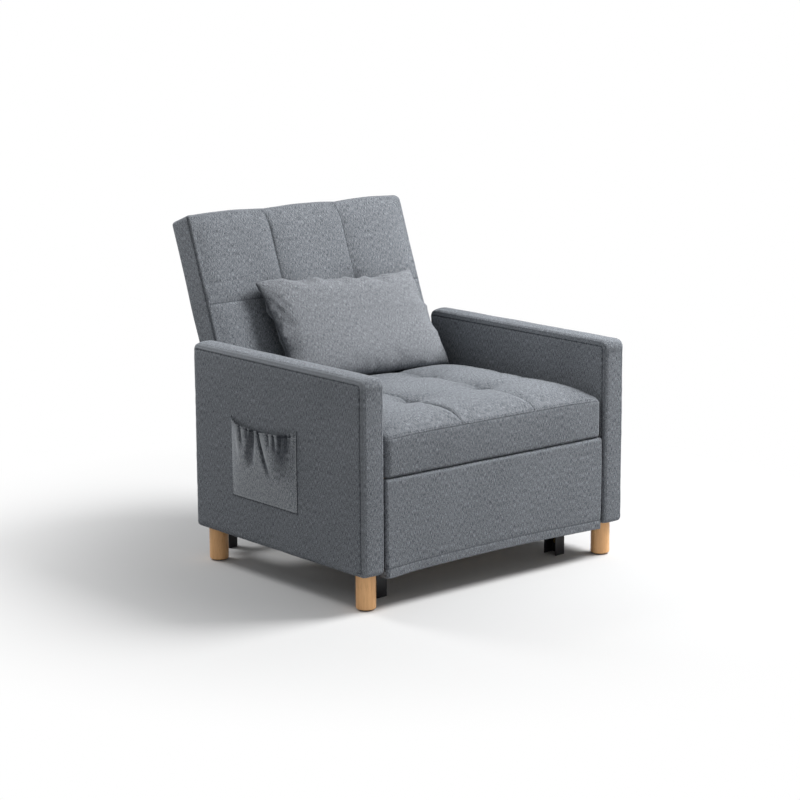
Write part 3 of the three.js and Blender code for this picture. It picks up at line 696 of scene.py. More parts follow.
def make_arm(word, side):
    low, high = corners_of(f"arm_{word}")
    slab = Slab([
        *(rimmed(low[i], high[i], 9 * MM, (low[i] + ARM_SEAM, high[i] - ARM_SEAM)) for i in (1, 2)),
        rimmed(low[0], high[0], 6 * MM),
    ], ARM_CORNER, ARM_EDGE)
    y, z, x = slab.rest.T
    middle = 1 - (2 * (x - (low[0] + high[0]) / 2) / (high[0] - low[0])) ** 2
    on_strip = slab.inset < TINY
    up = np.clip((z - (high[2] - ARM_TOP)) / ARM_TOP, 0, 1)
    slab.push(np.where(on_strip, (1.0 + 5.6 * up) * MM * middle, 0))
    slab.push(np.where(on_strip, 0, -1.6 * MM * np.exp(-slab.inset / (16 * MM))))
    slab.push(ripple(slab.points, 150 * MM, 11 + side) * 0.28 * MM - 0.3 * MM)
    pulls = ripple(slab.points, 26 * MM, 21 + side)
    fore = np.clip((low[1] + 30 * MM - y) / (12 * MM), 0, 1)
    behind = y > high[1] - ARM_REAR
    sewn = ((up > 0) & ~behind) | ((fore > 0) & (z > low[2] + 3 * MM))
    top_seam = np.where(~on_strip & behind, high[2] - z - ARM_SEAM, 1)
    # Painted shade: the grooves below darken the cloth's colour along each seam and beside it.
    for edge in (slab.top_edge, slab.low_edge):
        slab.push(0.22 * MM * pulls * np.exp(-np.abs(edge) / (18 * MM)))
        seam = np.where(sewn, edge - ARM_EDGE * math.pi / 4 - MM, 1)
        for line in (seam, top_seam):
            slab.groove(line, 1.7 * MM, 2.7 * MM, 1.1)
        slab.groove(edge + 9 * MM, 0.4 * MM, 1.6 * MM, 0.25)
    # Painted highlight: the cloth next to the outer seam is painted paler, most on the top band and less
    # on the front strip, where the rounded rim catches the light.
    outer = slab.low_edge if side < 0 else slab.top_edge
    slab.seam -= (0.3 * fore + 0.9 * up) * np.exp(-((outer - MM) / (7.5 * MM)) ** 4)
    arm = dress(slab.mesh(f"arm_cover_{word}", lambda points: points[:, [2, 0, 1]]),
                upholstery, "frame", "upholstery", f"arm_{word}")
    inset = 8 * MM - ARM_EDGE * (1 - math.pi / 4) + ARM_EDGE * 0.4
    heights = np.linspace(low[2] + 14 * MM, high[2] - 20 * MM, 120)
    depths = np.linspace(low[1] + 20 * MM, high[1] - 20 * MM, 160)
    for x in (low[0] + inset, high[0] - inset):
        seam_paths["frame"] += [
            laid_on(arm, [[x, low[1], z] for z in heights]),
            laid_on(arm, [[x, y, high[2]] for y in depths]),
        ]


for word, side in SIDES:
    make_arm(word, side)

# %% [markdown]
# ## The seat cushion
# A boxed foam cushion. Two seams run from the front edge to the rear, two more cross them, and a
# tuft at each crossing pulls the top down to the foam. Between the seams the cloth stands full.
# The front face is a strip as high as the foam, slightly bowed out.

# %% Seat
SEAT_SEAM_SHARES, SEAT_ROW_SHARES = (-0.326, 0.351), (0.33, 0.695)
SEAT_CROWN, SEAT_PUFF, SEAT_TUFT = 27 * MM, 6 * MM, 10 * MM
FINE_CELL, COARSE_CELL = 8 * MM, 12 * MM


def centred(place, low, high):
    """-1 at low and 1 at high."""
    return (place - (low + high) / 2) / ((high - low) / 2)


def fullness(place, stops):
    """1 in the middle between two stops, 0 on each of them."""
    total = np.zeros_like(place)
    for low, high in zip(stops[:-1], stops[1:]):
        on = (place >= low) & (place <= high)
        total[on] = 1 - centred(place[on], low, high) ** 2
    return total


def to_nearest(place, seams):
    return np.min([np.abs(place - seam) for seam in seams], axis=0)


def tuft(slab, at, depth, wide, knot, bar):
    """A sewn tuft: a dip, a short crosswise tack in it, a dimple at each end of the tack, and painted
    shade in and behind it.
    """
    away = slab.rest[:, :2] - np.array(at)
    top = slab.rest[:, 2] > slab.high[2] - TINY
    past = np.maximum(np.abs(away[:, 0]) - bar, 0)
    ends = np.hypot(np.abs(away[:, 0]) - bar, away[:, 1])
    line = np.hypot(past, away[:, 1])
    reach, turn = np.hypot(away[:, 0], away[:, 1]), np.arctan2(away[:, 1], away[:, 0])
    pulls = -dent(reach - 0.9 * wide, np.cos(6 * turn + 1.2 * np.sin(2 * turn)), 0.6 * wide)
    dip = dent(reach, depth, wide) + pulls * knot * 0.16
    for distance, share, width in ((line, 1, 2.6), (line, 0.8, 6.5), (ends, 0.7, 3.4)):
        dip += dent(distance, knot * share, width * MM)
    slab.push(np.where(top, dip, 0))
    # Painted shade: the tack is darkened where shade falls in it, and a soft painted shadow lies just
    # behind each tuft.
    dark = np.exp(-(past / (4.5 * MM)) ** 2 - (away[:, 1] / (2.2 * knot)) ** 2)
    shade = 0.3 * np.exp(-(away[:, 0] / 0.05) ** 2 - ((away[:, 1] - 0.025) / 0.05) ** 2)
    slab.seam = np.maximum(slab.seam, np.where(top, np.maximum(dark, shade), 0))


def seat_form(cell, fine):
    """The seat's slab with its crown, before it is filled and sewn."""
    low, high = corners_of("seat_cushion")
    top = high[2] - 18 * MM
    half, depth = (high[0] - low[0]) / 2, high[1] - low[1]
    seams_x = [share * half for share in SEAT_SEAM_SHARES]
    seams_y = [low[1] + share * depth for share in SEAT_ROW_SHARES]
    slab = Slab([
        rimmed(low[0], high[0], cell, seams_x, fine),
        rimmed(low[1], high[1], cell, seams_y, fine), rimmed(low[2], top, cell, (), fine),
    ], all_corners(15 * MM), 10 * MM, 4 * MM)
    a, b, c = slab.rest.T
    share_a, share_b = a / half, centred(b, low[1], high[1])
    height = np.clip((c - low[2]) / (top - low[2]), 0, 1)
    upper, waist = height ** 8, np.sin(math.pi * height)
    front, rear = np.clip(-share_b, 0, 1), np.clip(share_b, 0, 1)
    dome = (1 - np.abs(share_a) ** 11) * (1 - front ** 9 - rear ** 3)
    drop = 8 * MM * np.abs(share_a) ** 7 * front ** 7
    slab.points[:, 2] += upper * (SEAT_CROWN * dome - drop)
    slab.points[:, 1] -= np.where(b < low[1] + TINY, 2.4 * MM * waist * (1 - share_a ** 4), 0)
    full_side = 3.5 * MM * waist ** 0.5 * (1 - share_b ** 8)
    slab.points[:, 0] += np.where(np.abs(share_a) > 1 - TINY, np.sign(a) * full_side, 0)
    for x in seams_x:
        for y in seams_y:
            slab.points[:, 2] += upper * dent(np.hypot(a - x, b - y), SEAT_TUFT, 26 * MM)
    slab.settle()
    return slab, seams_x, seams_y


def make_seat():
    slab, seams_x, seams_y = seat_form(FINE_CELL, 1.7 * MM)
    a, b, c = slab.rest.T
    low, high = slab.low, slab.high
    coarse, _, _ = seat_form(COARSE_CELL, COARSE_CELL)
    to_x = to_nearest(coarse.rest[:, 0], seams_x)
    knots = (to_nearest(coarse.rest[:, 1], seams_y) < 8 * MM) & (to_x < 17 * MM)
    fill(slab, coarse, (to_x < SEWN_LINE) | knots, pressure=4.0, slack=0.015, cap=11 * MM)
    slab.push(ripple(slab.points, 120 * MM, 31) * 0.4 * MM)
    depth = high[1] - low[1]
    # Painted shade: the seams and rim grooves darken the cloth's colour, the lengthwise seams most
    # towards the front.
    for seam in seams_x:
        faint = 0.5 + 0.3 * np.clip((low[1] + 0.3 * depth - b) / (0.1 * depth), 0, 1)
        line = np.where(slab.top_edge > -2 * MM, a - seam, 1)
        slab.push(dent(line, 1.0 * MM, 5 * MM) + dent(line, 1.3 * MM, 1.6 * MM))
        slab.darken(line, 1.4 * MM, faint)
    for seam in seams_y:
        line = np.where(slab.top_edge > 5 * MM, b - seam, 1)
        slab.push(dent(line, 1.6 * MM, 12 * MM) + dent(line, 0.4 * MM, 2.2 * MM))
        slab.darken(line, 1.4 * MM, 0.12)
    slab.groove(slab.top_edge + 3 * MM, 1.6 * MM, 1.8 * MM)
    slab.groove(slab.low_edge + 1 * MM, 0.9 * MM, 1.6 * MM, 0.5)
    for x in seams_x:
        for y in seams_y:
            tuft(slab, (x, y), 3.5 * MM, 20 * MM, 6.0 * MM, 14 * MM)
    return slab


seat_slab = make_seat()
seat = dress(seat_slab.mesh("seat_cover"), upholstery, "frame", "upholstery", "seat_cushion")
seat_low, seat_high = seat_slab.low, seat_slab.high
for drop in (-2 * MM, 6.5 * MM):
    run = np.linspace(seat_low[0] + 15 * MM, seat_high[0] - 15 * MM, 240)
    line = [[x, seat_low[1] - MM, seat_high[2] - drop] for x in run]
    seam_paths["frame"].append(laid_on(seat, line))

# %% [markdown]
# ## The backrest
# The same kind of cushion, standing on its hinges and leaning back. Its slab is built flat, with
# c towards the sitter, and then turned about the hinge line, whose place the frame gives. The
# seams pull the top edge in a little where they cross it.

# %% Backrest
hinge = next(joint for joint in frame["joints"] if joint["name"] == "backrest_recline")
HINGE = np.array(hinge["pos_m"])
BACK_TILT = math.radians(20.5)
BACK_SEAM_SHARES, BACK_SEAM_DROP = (-0.302, 0.368), 245 * MM
BACK_CORNER = {(-1, 1): 9 * MM, (1, 1): 18 * MM, (-1, -1): 12 * MM, (1, -1): 12 * MM}


def lean(tilt):
    """The ways up along something that leans back by tilt, and out of its face."""
    return np.array([0, math.sin(tilt), math.cos(tilt)]), np.array([0, -math.cos(tilt), math.sin(tilt)])


def from_own(points, tilt):
    """From axes across, up along and out of a leaning thing to the chair's."""
    up, front = lean(tilt)
    return points[:, :1] * np.array([1, 0, 0]) + points[:, 1:2] * up + points[:, 2:] * front


def to_own(points, tilt):
    """Lowest and highest corner of points along a leaning thing's own axes."""
    up, front = lean(tilt)
    own = np.stack([points[:, 0], points @ up, points @ front], 1)
    return own.min(axis=0), own.max(axis=0)


def node_points(node):
    return np.array([v.co for v in frame["nodes"][node].data.vertices], float)


def leaning(points):
    return HINGE + from_own(points, BACK_TILT)


def back_form(cell, fine):
    """The backrest's slab with its crown, before it is filled and sewn."""
    low, high = to_own(node_points("back_cushion") - HINGE, BACK_TILT)
    face = high[2] - 9 * MM
    half = (high[0] - low[0]) / 2
    seams_a = [share * half for share in BACK_SEAM_SHARES]
    seam_b = high[1] - BACK_SEAM_DROP
    slab = Slab([
        rimmed(low[0], high[0], cell, seams_a, fine),
        rimmed(low[1], high[1], cell, (seam_b,), fine), rimmed(low[2], face, cell, (), fine),
    ], BACK_CORNER, 8 * MM, 4 * MM)
    a, b, c = slab.rest.T
    share_a, share_b = a / half, centred(b, low[1], high[1])
    upper = np.clip((c - low[2]) / (face - low[2]), 0, 1) ** 8
    dome = (1 - np.abs(share_a) ** 10) * (1 - np.abs(share_b) ** 12)
    slab.points[:, 2] += upper * 4.5 * MM * dome
    for seam in seams_a:
        slab.points[:, 2] += upper * dent(np.hypot(a - seam, b - seam_b), 6 * MM, 26 * MM)
    near_top = np.clip((share_b - 0.55) / 0.45, 0, 1) ** 2
    arch = fullness(a, [low[0], *seams_a, high[0]])
    slab.points[:, 1] += near_top * (5.0 * MM * arch - 1.6 * MM) * (1 - share_a ** 12)
    slab.settle()
    return slab, seams_a, seam_b


def make_back():
    slab, seams_a, seam_b = back_form(FINE_CELL, 1.7 * MM)
    a, b, c = slab.rest.T
    low, high = slab.low, slab.high
    coarse, _, _ = back_form(COARSE_CELL, COARSE_CELL)
    to_a = to_nearest(coarse.rest[:, 0], seams_a)
    to_b = to_nearest(coarse.rest[:, 1], (seam_b,))
    knots = (to_a < 13 * MM) & (to_b < 13 * MM)
    sewn = (to_a < SEWN_LINE) | (to_b < SEWN_LINE) | knots
    fill(slab, coarse, sewn, pressure=2.6, slack=0.01, cap=5.5 * MM)
    slab.push(ripple(slab.points, 130 * MM, 41) * 0.4 * MM)
    # Painted shade: the seams and rim grooves darken the cloth's colour, the upright seams most above
    # the cross seam.
    faint = 0.5 + 0.45 * np.clip((b - seam_b) / 0.12, 0, 1)
    bend = 14 * MM * np.clip((b - (high[1] - 60 * MM)) / (60 * MM), 0, 1) ** 2
    for seam in seams_a:
        line = np.where(slab.top_edge > -1 * MM, a - (seam - bend), 1)
        slab.push(dent(line, 0.5 * MM, 5 * MM) + dent(line, 1.3 * MM, 1.7 * MM))
        slab.darken(line, 1.7 * MM, faint)
    line = np.where(slab.top_edge > 4 * MM, b - seam_b, 1)
    slab.push(dent(line, 0.6 * MM, 5 * MM) + dent(line, 1.2 * MM, 1.7 * MM))
    slab.darken(line, 1.7 * MM, 0.75)
    slab.groove(slab.top_edge + 2 * MM, 1.8 * MM, 1.9 * MM)
    slab.groove(slab.low_edge + 2 * MM, 1.2 * MM, 1.9 * MM)
    for x in seams_a:
        tuft(slab, (x, seam_b), 2.0 * MM, 18 * MM, 1.8 * MM, 6 * MM)
    return slab.mesh("backrest_cover", leaning)


back = dress(make_back(), upholstery, "backrest", "upholstery", "back_cushion")

# %% [markdown]
# The rear of the backrest is closed by a cloth-covered panel that sits in the cushion's rim. It
# is a thin slab of its own, a little full, with its edge tucked in.

# %% Rear panel
def make_rear_panel():
    low, high = to_own(node_points("back_panel") - HINGE, BACK_TILT)
    proud = 2.2 * MM
    slab = Slab([
        rimmed(low[0], high[0], 12 * MM), rimmed(low[1], high[1], 12 * MM),
        spaced(-high[2], proud - low[2], 2 * MM),
    ], all_corners(12 * MM), 2.4 * MM)
    slab.push(1.6 * MM * np.clip(slab.inset / (90 * MM), 0, 1) * (slab.top_edge > 0))
    slab.push(ripple(slab.points, 170 * MM, 51) * 0.5 * MM)
    # Painted shade in the groove where the edge is tucked in.
    slab.groove(slab.top_edge - 9 * MM, 0.5 * MM, 2.0 * MM, 0.4)
    slab.quads = slab.quads[:, ::-1]
    return slab.mesh("rear_panel_cover", lambda points: leaning(points * np.array([1, 1, -1])))


dress(make_rear_panel(), lining, "backrest", "lining", "back_panel")

# %% [markdown]
# ## The bed cushion
# It lies folded away under the seat and shows only when the front unit is pulled out. It is the
# same slab, thinner, with two lengthwise seams and no tufts.

# %% Bed cushion
def make_bed():
    low, high = corners_of("bed_cushion")
    top = high[2] - 8 * MM
    half = (high[0] - low[0]) / 2
    seams_x = [share * half for share in SEAT_SEAM_SHARES]
    slab = Slab([
        rimmed(low[0], high[0], 10 * MM, seams_x, 2.2 * MM),
        rimmed(low[1], high[1], 10 * MM, (), 2.2 * MM), rimmed(low[2], top, 8 * MM, (), 2.2 * MM),
    ], all_corners(14 * MM), 10 * MM)
    a, b, c = slab.rest.T
    upper = np.clip((c - low[2]) / (top - low[2]), 0, 1) ** 8
    dome = (1 - np.abs(a / half) ** 10) * (1 - np.abs(centred(b, low[1], high[1])) ** 10)
    panels = fullness(a, [low[0], *seams_x, high[0]]) ** 0.7
    slab.points[:, 2] += upper * (3.5 * MM * dome + 4 * MM * panels * dome)
    slab.settle()
    slab.push(ripple(slab.points, 130 * MM, 61) * 0.5 * MM)
    # Painted shade in the seam and rim grooves.
    for seam in seams_x:
        line = np.where(slab.top_edge > -2 * MM, a - seam, 1)
        slab.push(dent(line, 1.6 * MM, 9 * MM))
        slab.groove(line, 1.4 * MM, 2.4 * MM, 0.8)
    for edge in (slab.top_edge, slab.low_edge):
        slab.groove(edge + 3 * MM, 1.5 * MM, 2.2 * MM)
    return slab.mesh("bed_cover")


bed = dress(make_bed(), upholstery, "pull_out", "upholstery", "bed_cushion")

# %% [markdown]
# ## The front panel
# A cloth hangs over the front board: it turns over the board's top and round its ends, and its
# lower edge has a deep hem. It is one sheet, so it is built row by row from its top edge to its
# hem, each row a plan view of the cloth with rounded corners, and then given a thickness.

# %% Front panel cloth
SKIRT_RETURN, SKIRT_TURN, SKIRT_HEM, SKIRT_BOW = 20 * MM, 9 * MM, 23 * MM, 7 * MM
SKIRT_CORNER, SKIRT_EXTRA = 7 * MM, 3 * MM


def plan_row(half, front, rear, radius, across):
    """One row of the cloth seen from above: left return, corner, front, corner, right return."""
    bend = np.linspace(0, math.pi / 2, 7)
    left = np.stack([np.full(5, -half), np.linspace(rear, front + radius, 6)[:-1]], 1)
    corner = np.stack([radius - half - radius * np.cos(bend), front + radius - radius * np.sin(bend)], 1)
    middle = np.stack([across * (half - radius), np.full(len(across), front)], 1)
    flip = np.array([-1, 1])
    return np.concatenate([left, corner, middle[1:-1], (corner * flip)[::-1], (left * flip)[::-1]])


def make_skirt():
    low, high = corners_of("front_skirt")
    front, top, bottom = low[1], high[2], low[2]
    rear, wide = front + SKIRT_RETURN + 2 * MM, high[0] + SKIRT_EXTRA
    across = spaced(-1, 1, 0.016, (-1, 1), fine=0.004)
    fall = spaced(0, 1, 0.03, (0, 1 - SKIRT_HEM / (top - bottom), 1), fine=0.008)
    turn = np.linspace(0, math.pi / 2, 7)
    over = [(top, depth) for depth in np.linspace(SKIRT_RETURN, SKIRT_TURN, 5)[:-1]]
    bend = [(top - SKIRT_TURN * (1 - math.cos(t)), SKIRT_TURN * (1 - math.sin(t))) for t in turn]
    rows, heights = [], []
    for z, inset in over + bend:
        radius = max(SKIRT_CORNER - inset, 0.6 * MM)
        rows.append(plan_row(wide - inset, front + inset, rear, radius, across))
        heights.append(np.full(len(rows[-1]), z))
    hanging = plan_row(wide, front, rear, SKIRT_CORNER, across)
    hem_line = bottom + SKIRT_BOW * (1 - (hanging[:, 0] / high[0]) ** 2)
    for share in fall[1:]:
        rows.append(hanging)
        heights.append((top - SKIRT_TURN) + (hem_line - top + SKIRT_TURN) * share)
    heights = np.array(heights)
    points = np.concatenate([np.array(rows), heights[..., None]], 2)
    count_v, count_u = heights.shape
    lengths = np.linalg.norm(np.diff(points, axis=1), axis=2).mean(axis=0)
    steps = np.linalg.norm(np.diff(points, axis=0), axis=2)[:, count_u // 2]
    u, v = np.meshgrid(*(np.concatenate([[0], np.cumsum(run)]) for run in (lengths, steps)))
    points = points.reshape(-1, 3)
    index = np.arange(count_v * count_u).reshape(count_v, count_u)
    quads = np.stack([index[1:, :-1], index[1:, 1:], index[:-1, 1:], index[:-1, :-1]], -1)
    quads = quads.reshape(-1, 4)
    normals = point_normals(points, quads)
    above = (heights - heights[-1]).ravel()
    share = np.clip(1 - above / (top - bottom), 0, 1)
    facing = np.clip(-normals[:, 1], 0, 1)
    sway = ripple(points * np.array([1, 0.2, 0.12]), 240 * MM, 71) * share ** 2 * 1.1 * MM
    points = points + normals * ((sway + 1.6 * MM * np.sin(math.pi * share) * facing)[:, None])
    # The left end of the cloth stands away from the frame, most at the hem.
    left_end = np.exp(-((points[:, 0] + high[0]) / (55 * MM)) ** 2)
    flare = 6 * MM * left_end * np.clip(share - 0.55, 0, 1) ** 2 / 0.2
    points[:, 1] -= flare * (points[:, 1] < front + 6 * MM)
    line = above - SKIRT_HEM
    hem = 0.7 * MM * (above < SKIRT_HEM)
    points = points + normals * ((dent(line, 1.1 * MM, 2.2 * MM) + hem)[:, None])
    # Painted shade along the hem's sewn line.
    seam = -dent(line, 0.75, 1.3 * MM)
    weave = np.stack([u.ravel(), -v.ravel()], 1)[quads]
    to_hem = heights[:, count_u // 2] - heights[-1, count_u // 2] - SKIRT_HEM
    stitches = points[index[np.argmin(np.abs(to_hem))]]
    skirt = soft_object("front_panel_cloth", points, quads, weave, seam)
    return skirt, stitches[3:-3], (u.max(), v.max())


def thicken(sheet, thickness):
    wall = sheet.modifiers.new("Cloth", "SOLIDIFY")
    wall.thickness, wall.offset, wall.use_even_offset = thickness, -1, False


skirt, skirt_line, skirt_flat = make_skirt()
thicken(skirt, 1.6 * MM)
dress(skirt, upholstery, "pull_out", "upholstery", "front_skirt")
seam_paths["pull_out"].append(skirt_line + np.array([0, -0.3 * MM, 0]))
print("front panel cloth, flat size in mm:", [round(x * 1000) for x in skirt_flat])

# %% [markdown]
# ## The side pocket
# A patch of the same cloth, cut wider than the place it is sewn to, in a paler copy of its colours
# as painted light. Its mouth is drawn up by an elastic, so gathers start there, merge into a few
# folds and fade towards the sewn lower edge. A formula for the folds keeps them in order: short
# waves at the elastic, long ones below. Painted shade fills the fold hollows and painted
# highlight lies on the ridges.

# %% Side pocket
# Each fold: where it starts at the mouth and where it ends, as shares of the width, its width,
# its depth in mm (below 0 for a ridge) and how far down it reaches.
POCKET_FOLDS = (
    (0.18, 0.21, 0.020, 4.5, 0.60), (0.285, 0.27, 0.020, 3.0, 0.75), (0.385, 0.30, 0.048, 8.5, 0.36),
    (0.475, 0.63, 0.019, 9.5, 0.30), (0.62, 0.63, 0.018, 3.2, 0.70), (0.70, 0.71, 0.018, 3.8, 0.66),
    (0.79, 0.80, 0.020, 3.8, 0.64), (0.88, 0.88, 0.018, 3.2, 0.70), (0.82, 0.78, 0.100, 2.6, 0.20),
    (0.135, 0.19, 0.018, -3.4, 0.38), (0.43, 0.41, 0.020, -4.0, 0.40), (0.53, 0.68, 0.022, -3.6, 0.33),
    (0.235, 0.24, 0.016, -2.4, 0.72), (0.74, 0.75, 0.016, -2.6, 0.68), (0.66, 0.66, 0.016, -2.2, 0.72),
)


POCKET_GATHERS, POCKET_CASING = 22.0, 0.04  # waves at the mouth, and the casing's share below it


def make_pocket():
    low, high = corners_of("side_pocket")
    wall_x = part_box("arm_left")[0][0]
    wide, tall = high[1] - low[1], high[2] - low[2]
    u, v = np.meshgrid(np.linspace(0, 1, 170), spaced(0, 1, 0.012, (0, 1), fine=0.006))
    side = 2 * u - 1
    stand = (1 - side ** 6) * np.sin(math.pi / 2 * np.clip(v * 1.5, 0, 1)) * 13 * MM
    mouth = np.exp(-(1 - v) * 13)
    gathers = np.sin(2 * math.pi * (POCKET_GATHERS * u + 0.4 * np.sin(9 * u))) * 2.7 * MM * mouth
    folds = np.zeros_like(u)
    for start, end, width, depth, lowest in POCKET_FOLDS:
        down = np.clip((0.97 - v) / (0.97 - lowest), 0, 1)
        off = u - (start + (end - start) * down ** 1.4)
        folds += dent(off, 1.2 * depth * MM, width * (1 + 0.8 * down)) * (1 - down ** 2) ** 1.5
    inner = np.clip((1 - np.abs(side)) * 14, 0, 1) * np.clip(v * 18, 0, 1)
    casing = dent(1 - v, -0.9 * MM, 0.018) + dent(1 - v - POCKET_CASING, 1.5 * MM, 0.012)
    out = np.maximum(stand + (gathers + folds + casing) * inner, 0.2 * MM) + 0.35 * MM
    dip = tall * 0.11 * (1 - side ** 2) ** np.where(side < 0, 0.42, 0.75) * v ** 4
    crimp = 0.7 * MM * np.sin(2 * math.pi * POCKET_GATHERS * u) * v ** 14
    height = low[2] + tall * v - dip - crimp - 5 * MM * (1 - v)
    points = np.stack([wall_x - out, low[1] + wide * (1 - u), height], -1)
    rows, columns = u.shape
    index = np.arange(rows * columns).reshape(rows, columns)
    quads = np.stack([index[:-1, :-1], index[:-1, 1:], index[1:, 1:], index[1:, :-1]], -1)
    quads = quads.reshape(-1, 4)
    du, dv = (np.linalg.norm(np.diff(points, axis=axis), axis=2) for axis in (1, 0))
    cloth_u = np.concatenate([np.zeros((rows, 1)), np.cumsum(du, axis=1)], 1)
    cloth_v = np.concatenate([np.zeros((1, columns)), np.cumsum(dv, axis=0)], 0)
    # Painted shade and highlight: a dark line along the sewn edge with a pale line inside it, shade in
    # the fold hollows and highlight on the ridges, the cloth painted paler towards the rear, and a dark
    # line under the casing.
    border = np.minimum((1 - np.abs(side)) / 2 * wide, v * tall)
    seam = -dent(border, 1.2, 2.3 * MM) + dent(border - 4.2 * MM, 1, 1.7 * MM)
    hollow = -(0.7 * gathers + folds) * inner
    seam += np.clip(hollow / (2.2 * MM), -1.0, 1.1) - (0.4 - 0.3 * u) * inner
    seam -= dent(1 - v - POCKET_CASING, 0.8, 0.009) * (side ** 2 < 0.96)
    weave = np.stack([cloth_u, cloth_v], -1).reshape(-1, 2)[quads]
    flat = (float(cloth_u[:, -1].mean()), float(cloth_v[-1].mean()))
    pocket = soft_object("pocket_cloth", points.reshape(-1, 3), quads, weave, seam.ravel())
    return pocket, points, flat


pocket, pocket_points, pocket_flat = make_pocket()
thicken(pocket, 1.1 * MM)
dress(pocket, pocket_cloth, "frame", "upholstery", "side_pocket")
edge = np.concatenate([pocket_points[::-1, 3], pocket_points[2, 3:-3], pocket_points[:, -4]])
seam_paths["frame"].append(edge + np.array([-0.25 * MM, 0, 0]))
print("pocket cloth, flat size in mm:", [round(x * 1000) for x in pocket_flat])

# %% [markdown]
# ## The pillow
# Two rectangles of cloth sewn at their rims and stuffed: that is exactly what cloth simulation
# does well. A flat bag is blown up by a little pressure. The cloth can't stretch, so the rims
# draw in between the corners and fine folds run off them, as on a real knife-edged pillow.

# %% Pillow
PILLOW_SINK, PILLOW_LEAN = 3 * MM, math.radians(7.5)
PILLOW_CUT, PILLOW_CELL, PILLOW_STUFFING = 1.06, 6.5 * MM, 14 * MM


def flat_bag(width, height, cell, thick):
    """Two sheets joined at their rims, and each point's place between -1 and 1 both ways."""
    xs, ys = (np.linspace(-size / 2, size / 2, int(size / cell) + 1) for size in (width, height))
    points, quads, axes = box_of_quads([xs, ys, np.array([-thick, thick])])
    share = points[:, :2] / np.array([width, height]) * 2
    points[np.abs(share).max(axis=1) > 1 - TINY, 2] = 0
    bow = np.array([6 * MM, 5 * MM])
    points[:, :2] += bow * share * (1 - share[:, ::-1] ** 2)
    unique, first, inverse = np.unique(
        np.round(points, 7), axis=0, return_index=True, return_inverse=True)
    return unique, inverse.ravel()[quads[axes == 2]], share[first]


# The pillow's rim as it lies, in mm along the pillow: each side from low x or low y upwards.
PILLOW_RIM = {
    (1, 1): [(-280, 147), (-227, 151), (-153, 141), (-78, 130), (34, 123), (92, 122), (164, 125),
             (214, 129), (250, 132)],
    (1, -1): [(-268, -146), (-150, -148), (21, -150), (102, -152), (197, -155), (281, -157)],
    (0, 1): [(281, -157), (274, -113), (266, -58), (260, -12), (256, 38), (252, 88), (250, 132)],
    (0, -1): [(-268, -146), (-256, -100), (-250, -43), (-254, 10), (-258, 38), (-263, 86), (-280, 147)],
}


def onto_rim(points, share):
    """Moves the stuffed bag so that its rim follows the table, its inside going along."""
    shift = np.zeros((len(points), 2))
    place = (share + 1) / 2
    corner = {}
    for (axis, side), rim in PILLOW_RIM.items():
        rim = np.array(rim) * MM
        along = np.concatenate([[0], np.cumsum(np.linalg.norm(np.diff(rim, axis=0), axis=1))])
        on = np.abs(share[:, axis] - side) < TINY
        run = place[on, 1 - axis]
        target = np.stack([np.interp(run, along / along[-1], rim[:, k]) for k in (0, 1)], 1)
        order = np.argsort(run)
        miss = (target - points[on, :2])[order]
        weight = place[:, axis] if side > 0 else 1 - place[:, axis]
        for k in (0, 1):
            shift[:, k] += weight * np.interp(place[:, 1 - axis], run[order], miss[:, k])
        if axis == 1:
            corner[side] = weight[:, None], miss[0], miss[-1]
    for weight, first, last in corner.values():
        shift -= weight * ((1 - place[:, :1]) * first + place[:, :1] * last)
    points[:, :2] += shift
    return points


def make_pillow():
    world = node_points("throw_pillow")
    world[:, 2] -= PILLOW_SINK
    tilt = BACK_TILT + PILLOW_LEAN
    low, high = to_own(world, tilt)
    width, height, thick = high - low
    rest, quads, share = flat_bag(width * PILLOW_CUT, height * PILLOW_CUT, PILLOW_CELL, 3 * MM)
    points = rest.copy()
    smooth = np.sign(rest[:, 2]) * ((1 - share[:, 0] ** 4) * (1 - share[:, 1] ** 4)) ** 0.5
    points[:, 2] += ripple(rest, 60 * MM, 81) * 0.6 * MM
    points = blown(points, quads, None, 3.0, 0.0, 25, 18.0, 0.3)
    # The lower half lies against the seat, so its folds are drawn out more.
    flatter = 0.65 * np.clip(-share[:, 1], 0, 1) ** 0.5
    even = share * np.abs(points[:, :2]).max(axis=0) * 0.97
    points[:, 2] += (0.3 + flatter) * (smooth * np.abs(points[:, 2]).max() - points[:, 2])
    points[:, :2] += flatter[:, None] * (even - points[:, :2])
    size = points.max(axis=0) - points.min(axis=0)
    points -= (points.max(axis=0) + points.min(axis=0)) / 2
    print("pillow after stuffing, mm:", (size * 1000).round())
    points *= np.array([width, height, thick + PILLOW_STUFFING]) / size
    points = onto_rim(points, share) + (low + high) / 2
    rim = np.abs(share).max(axis=1)
    # Painted shade along the rim seam.
    seam = -dent((1 - rim) * height / 2, 0.8, 2.5 * MM)
    return soft_object("pillow_cover", from_own(points, tilt), quads, rest[:, :2][quads], seam)


pillow = make_pillow()
fine = pillow.modifiers.new("Round", "SUBSURF")
fine.levels = fine.render_levels = 1
dress(pillow, pillow_cloth, "backrest", "pillow_cloth", "throw_pillow")

# %% [markdown]
# ## Turned legs
# A leg is a beech cylinder from the lathe with its lower edge rounded over, on a nylon glide.
# Both are profiles turned round an axis, so one function spins them.

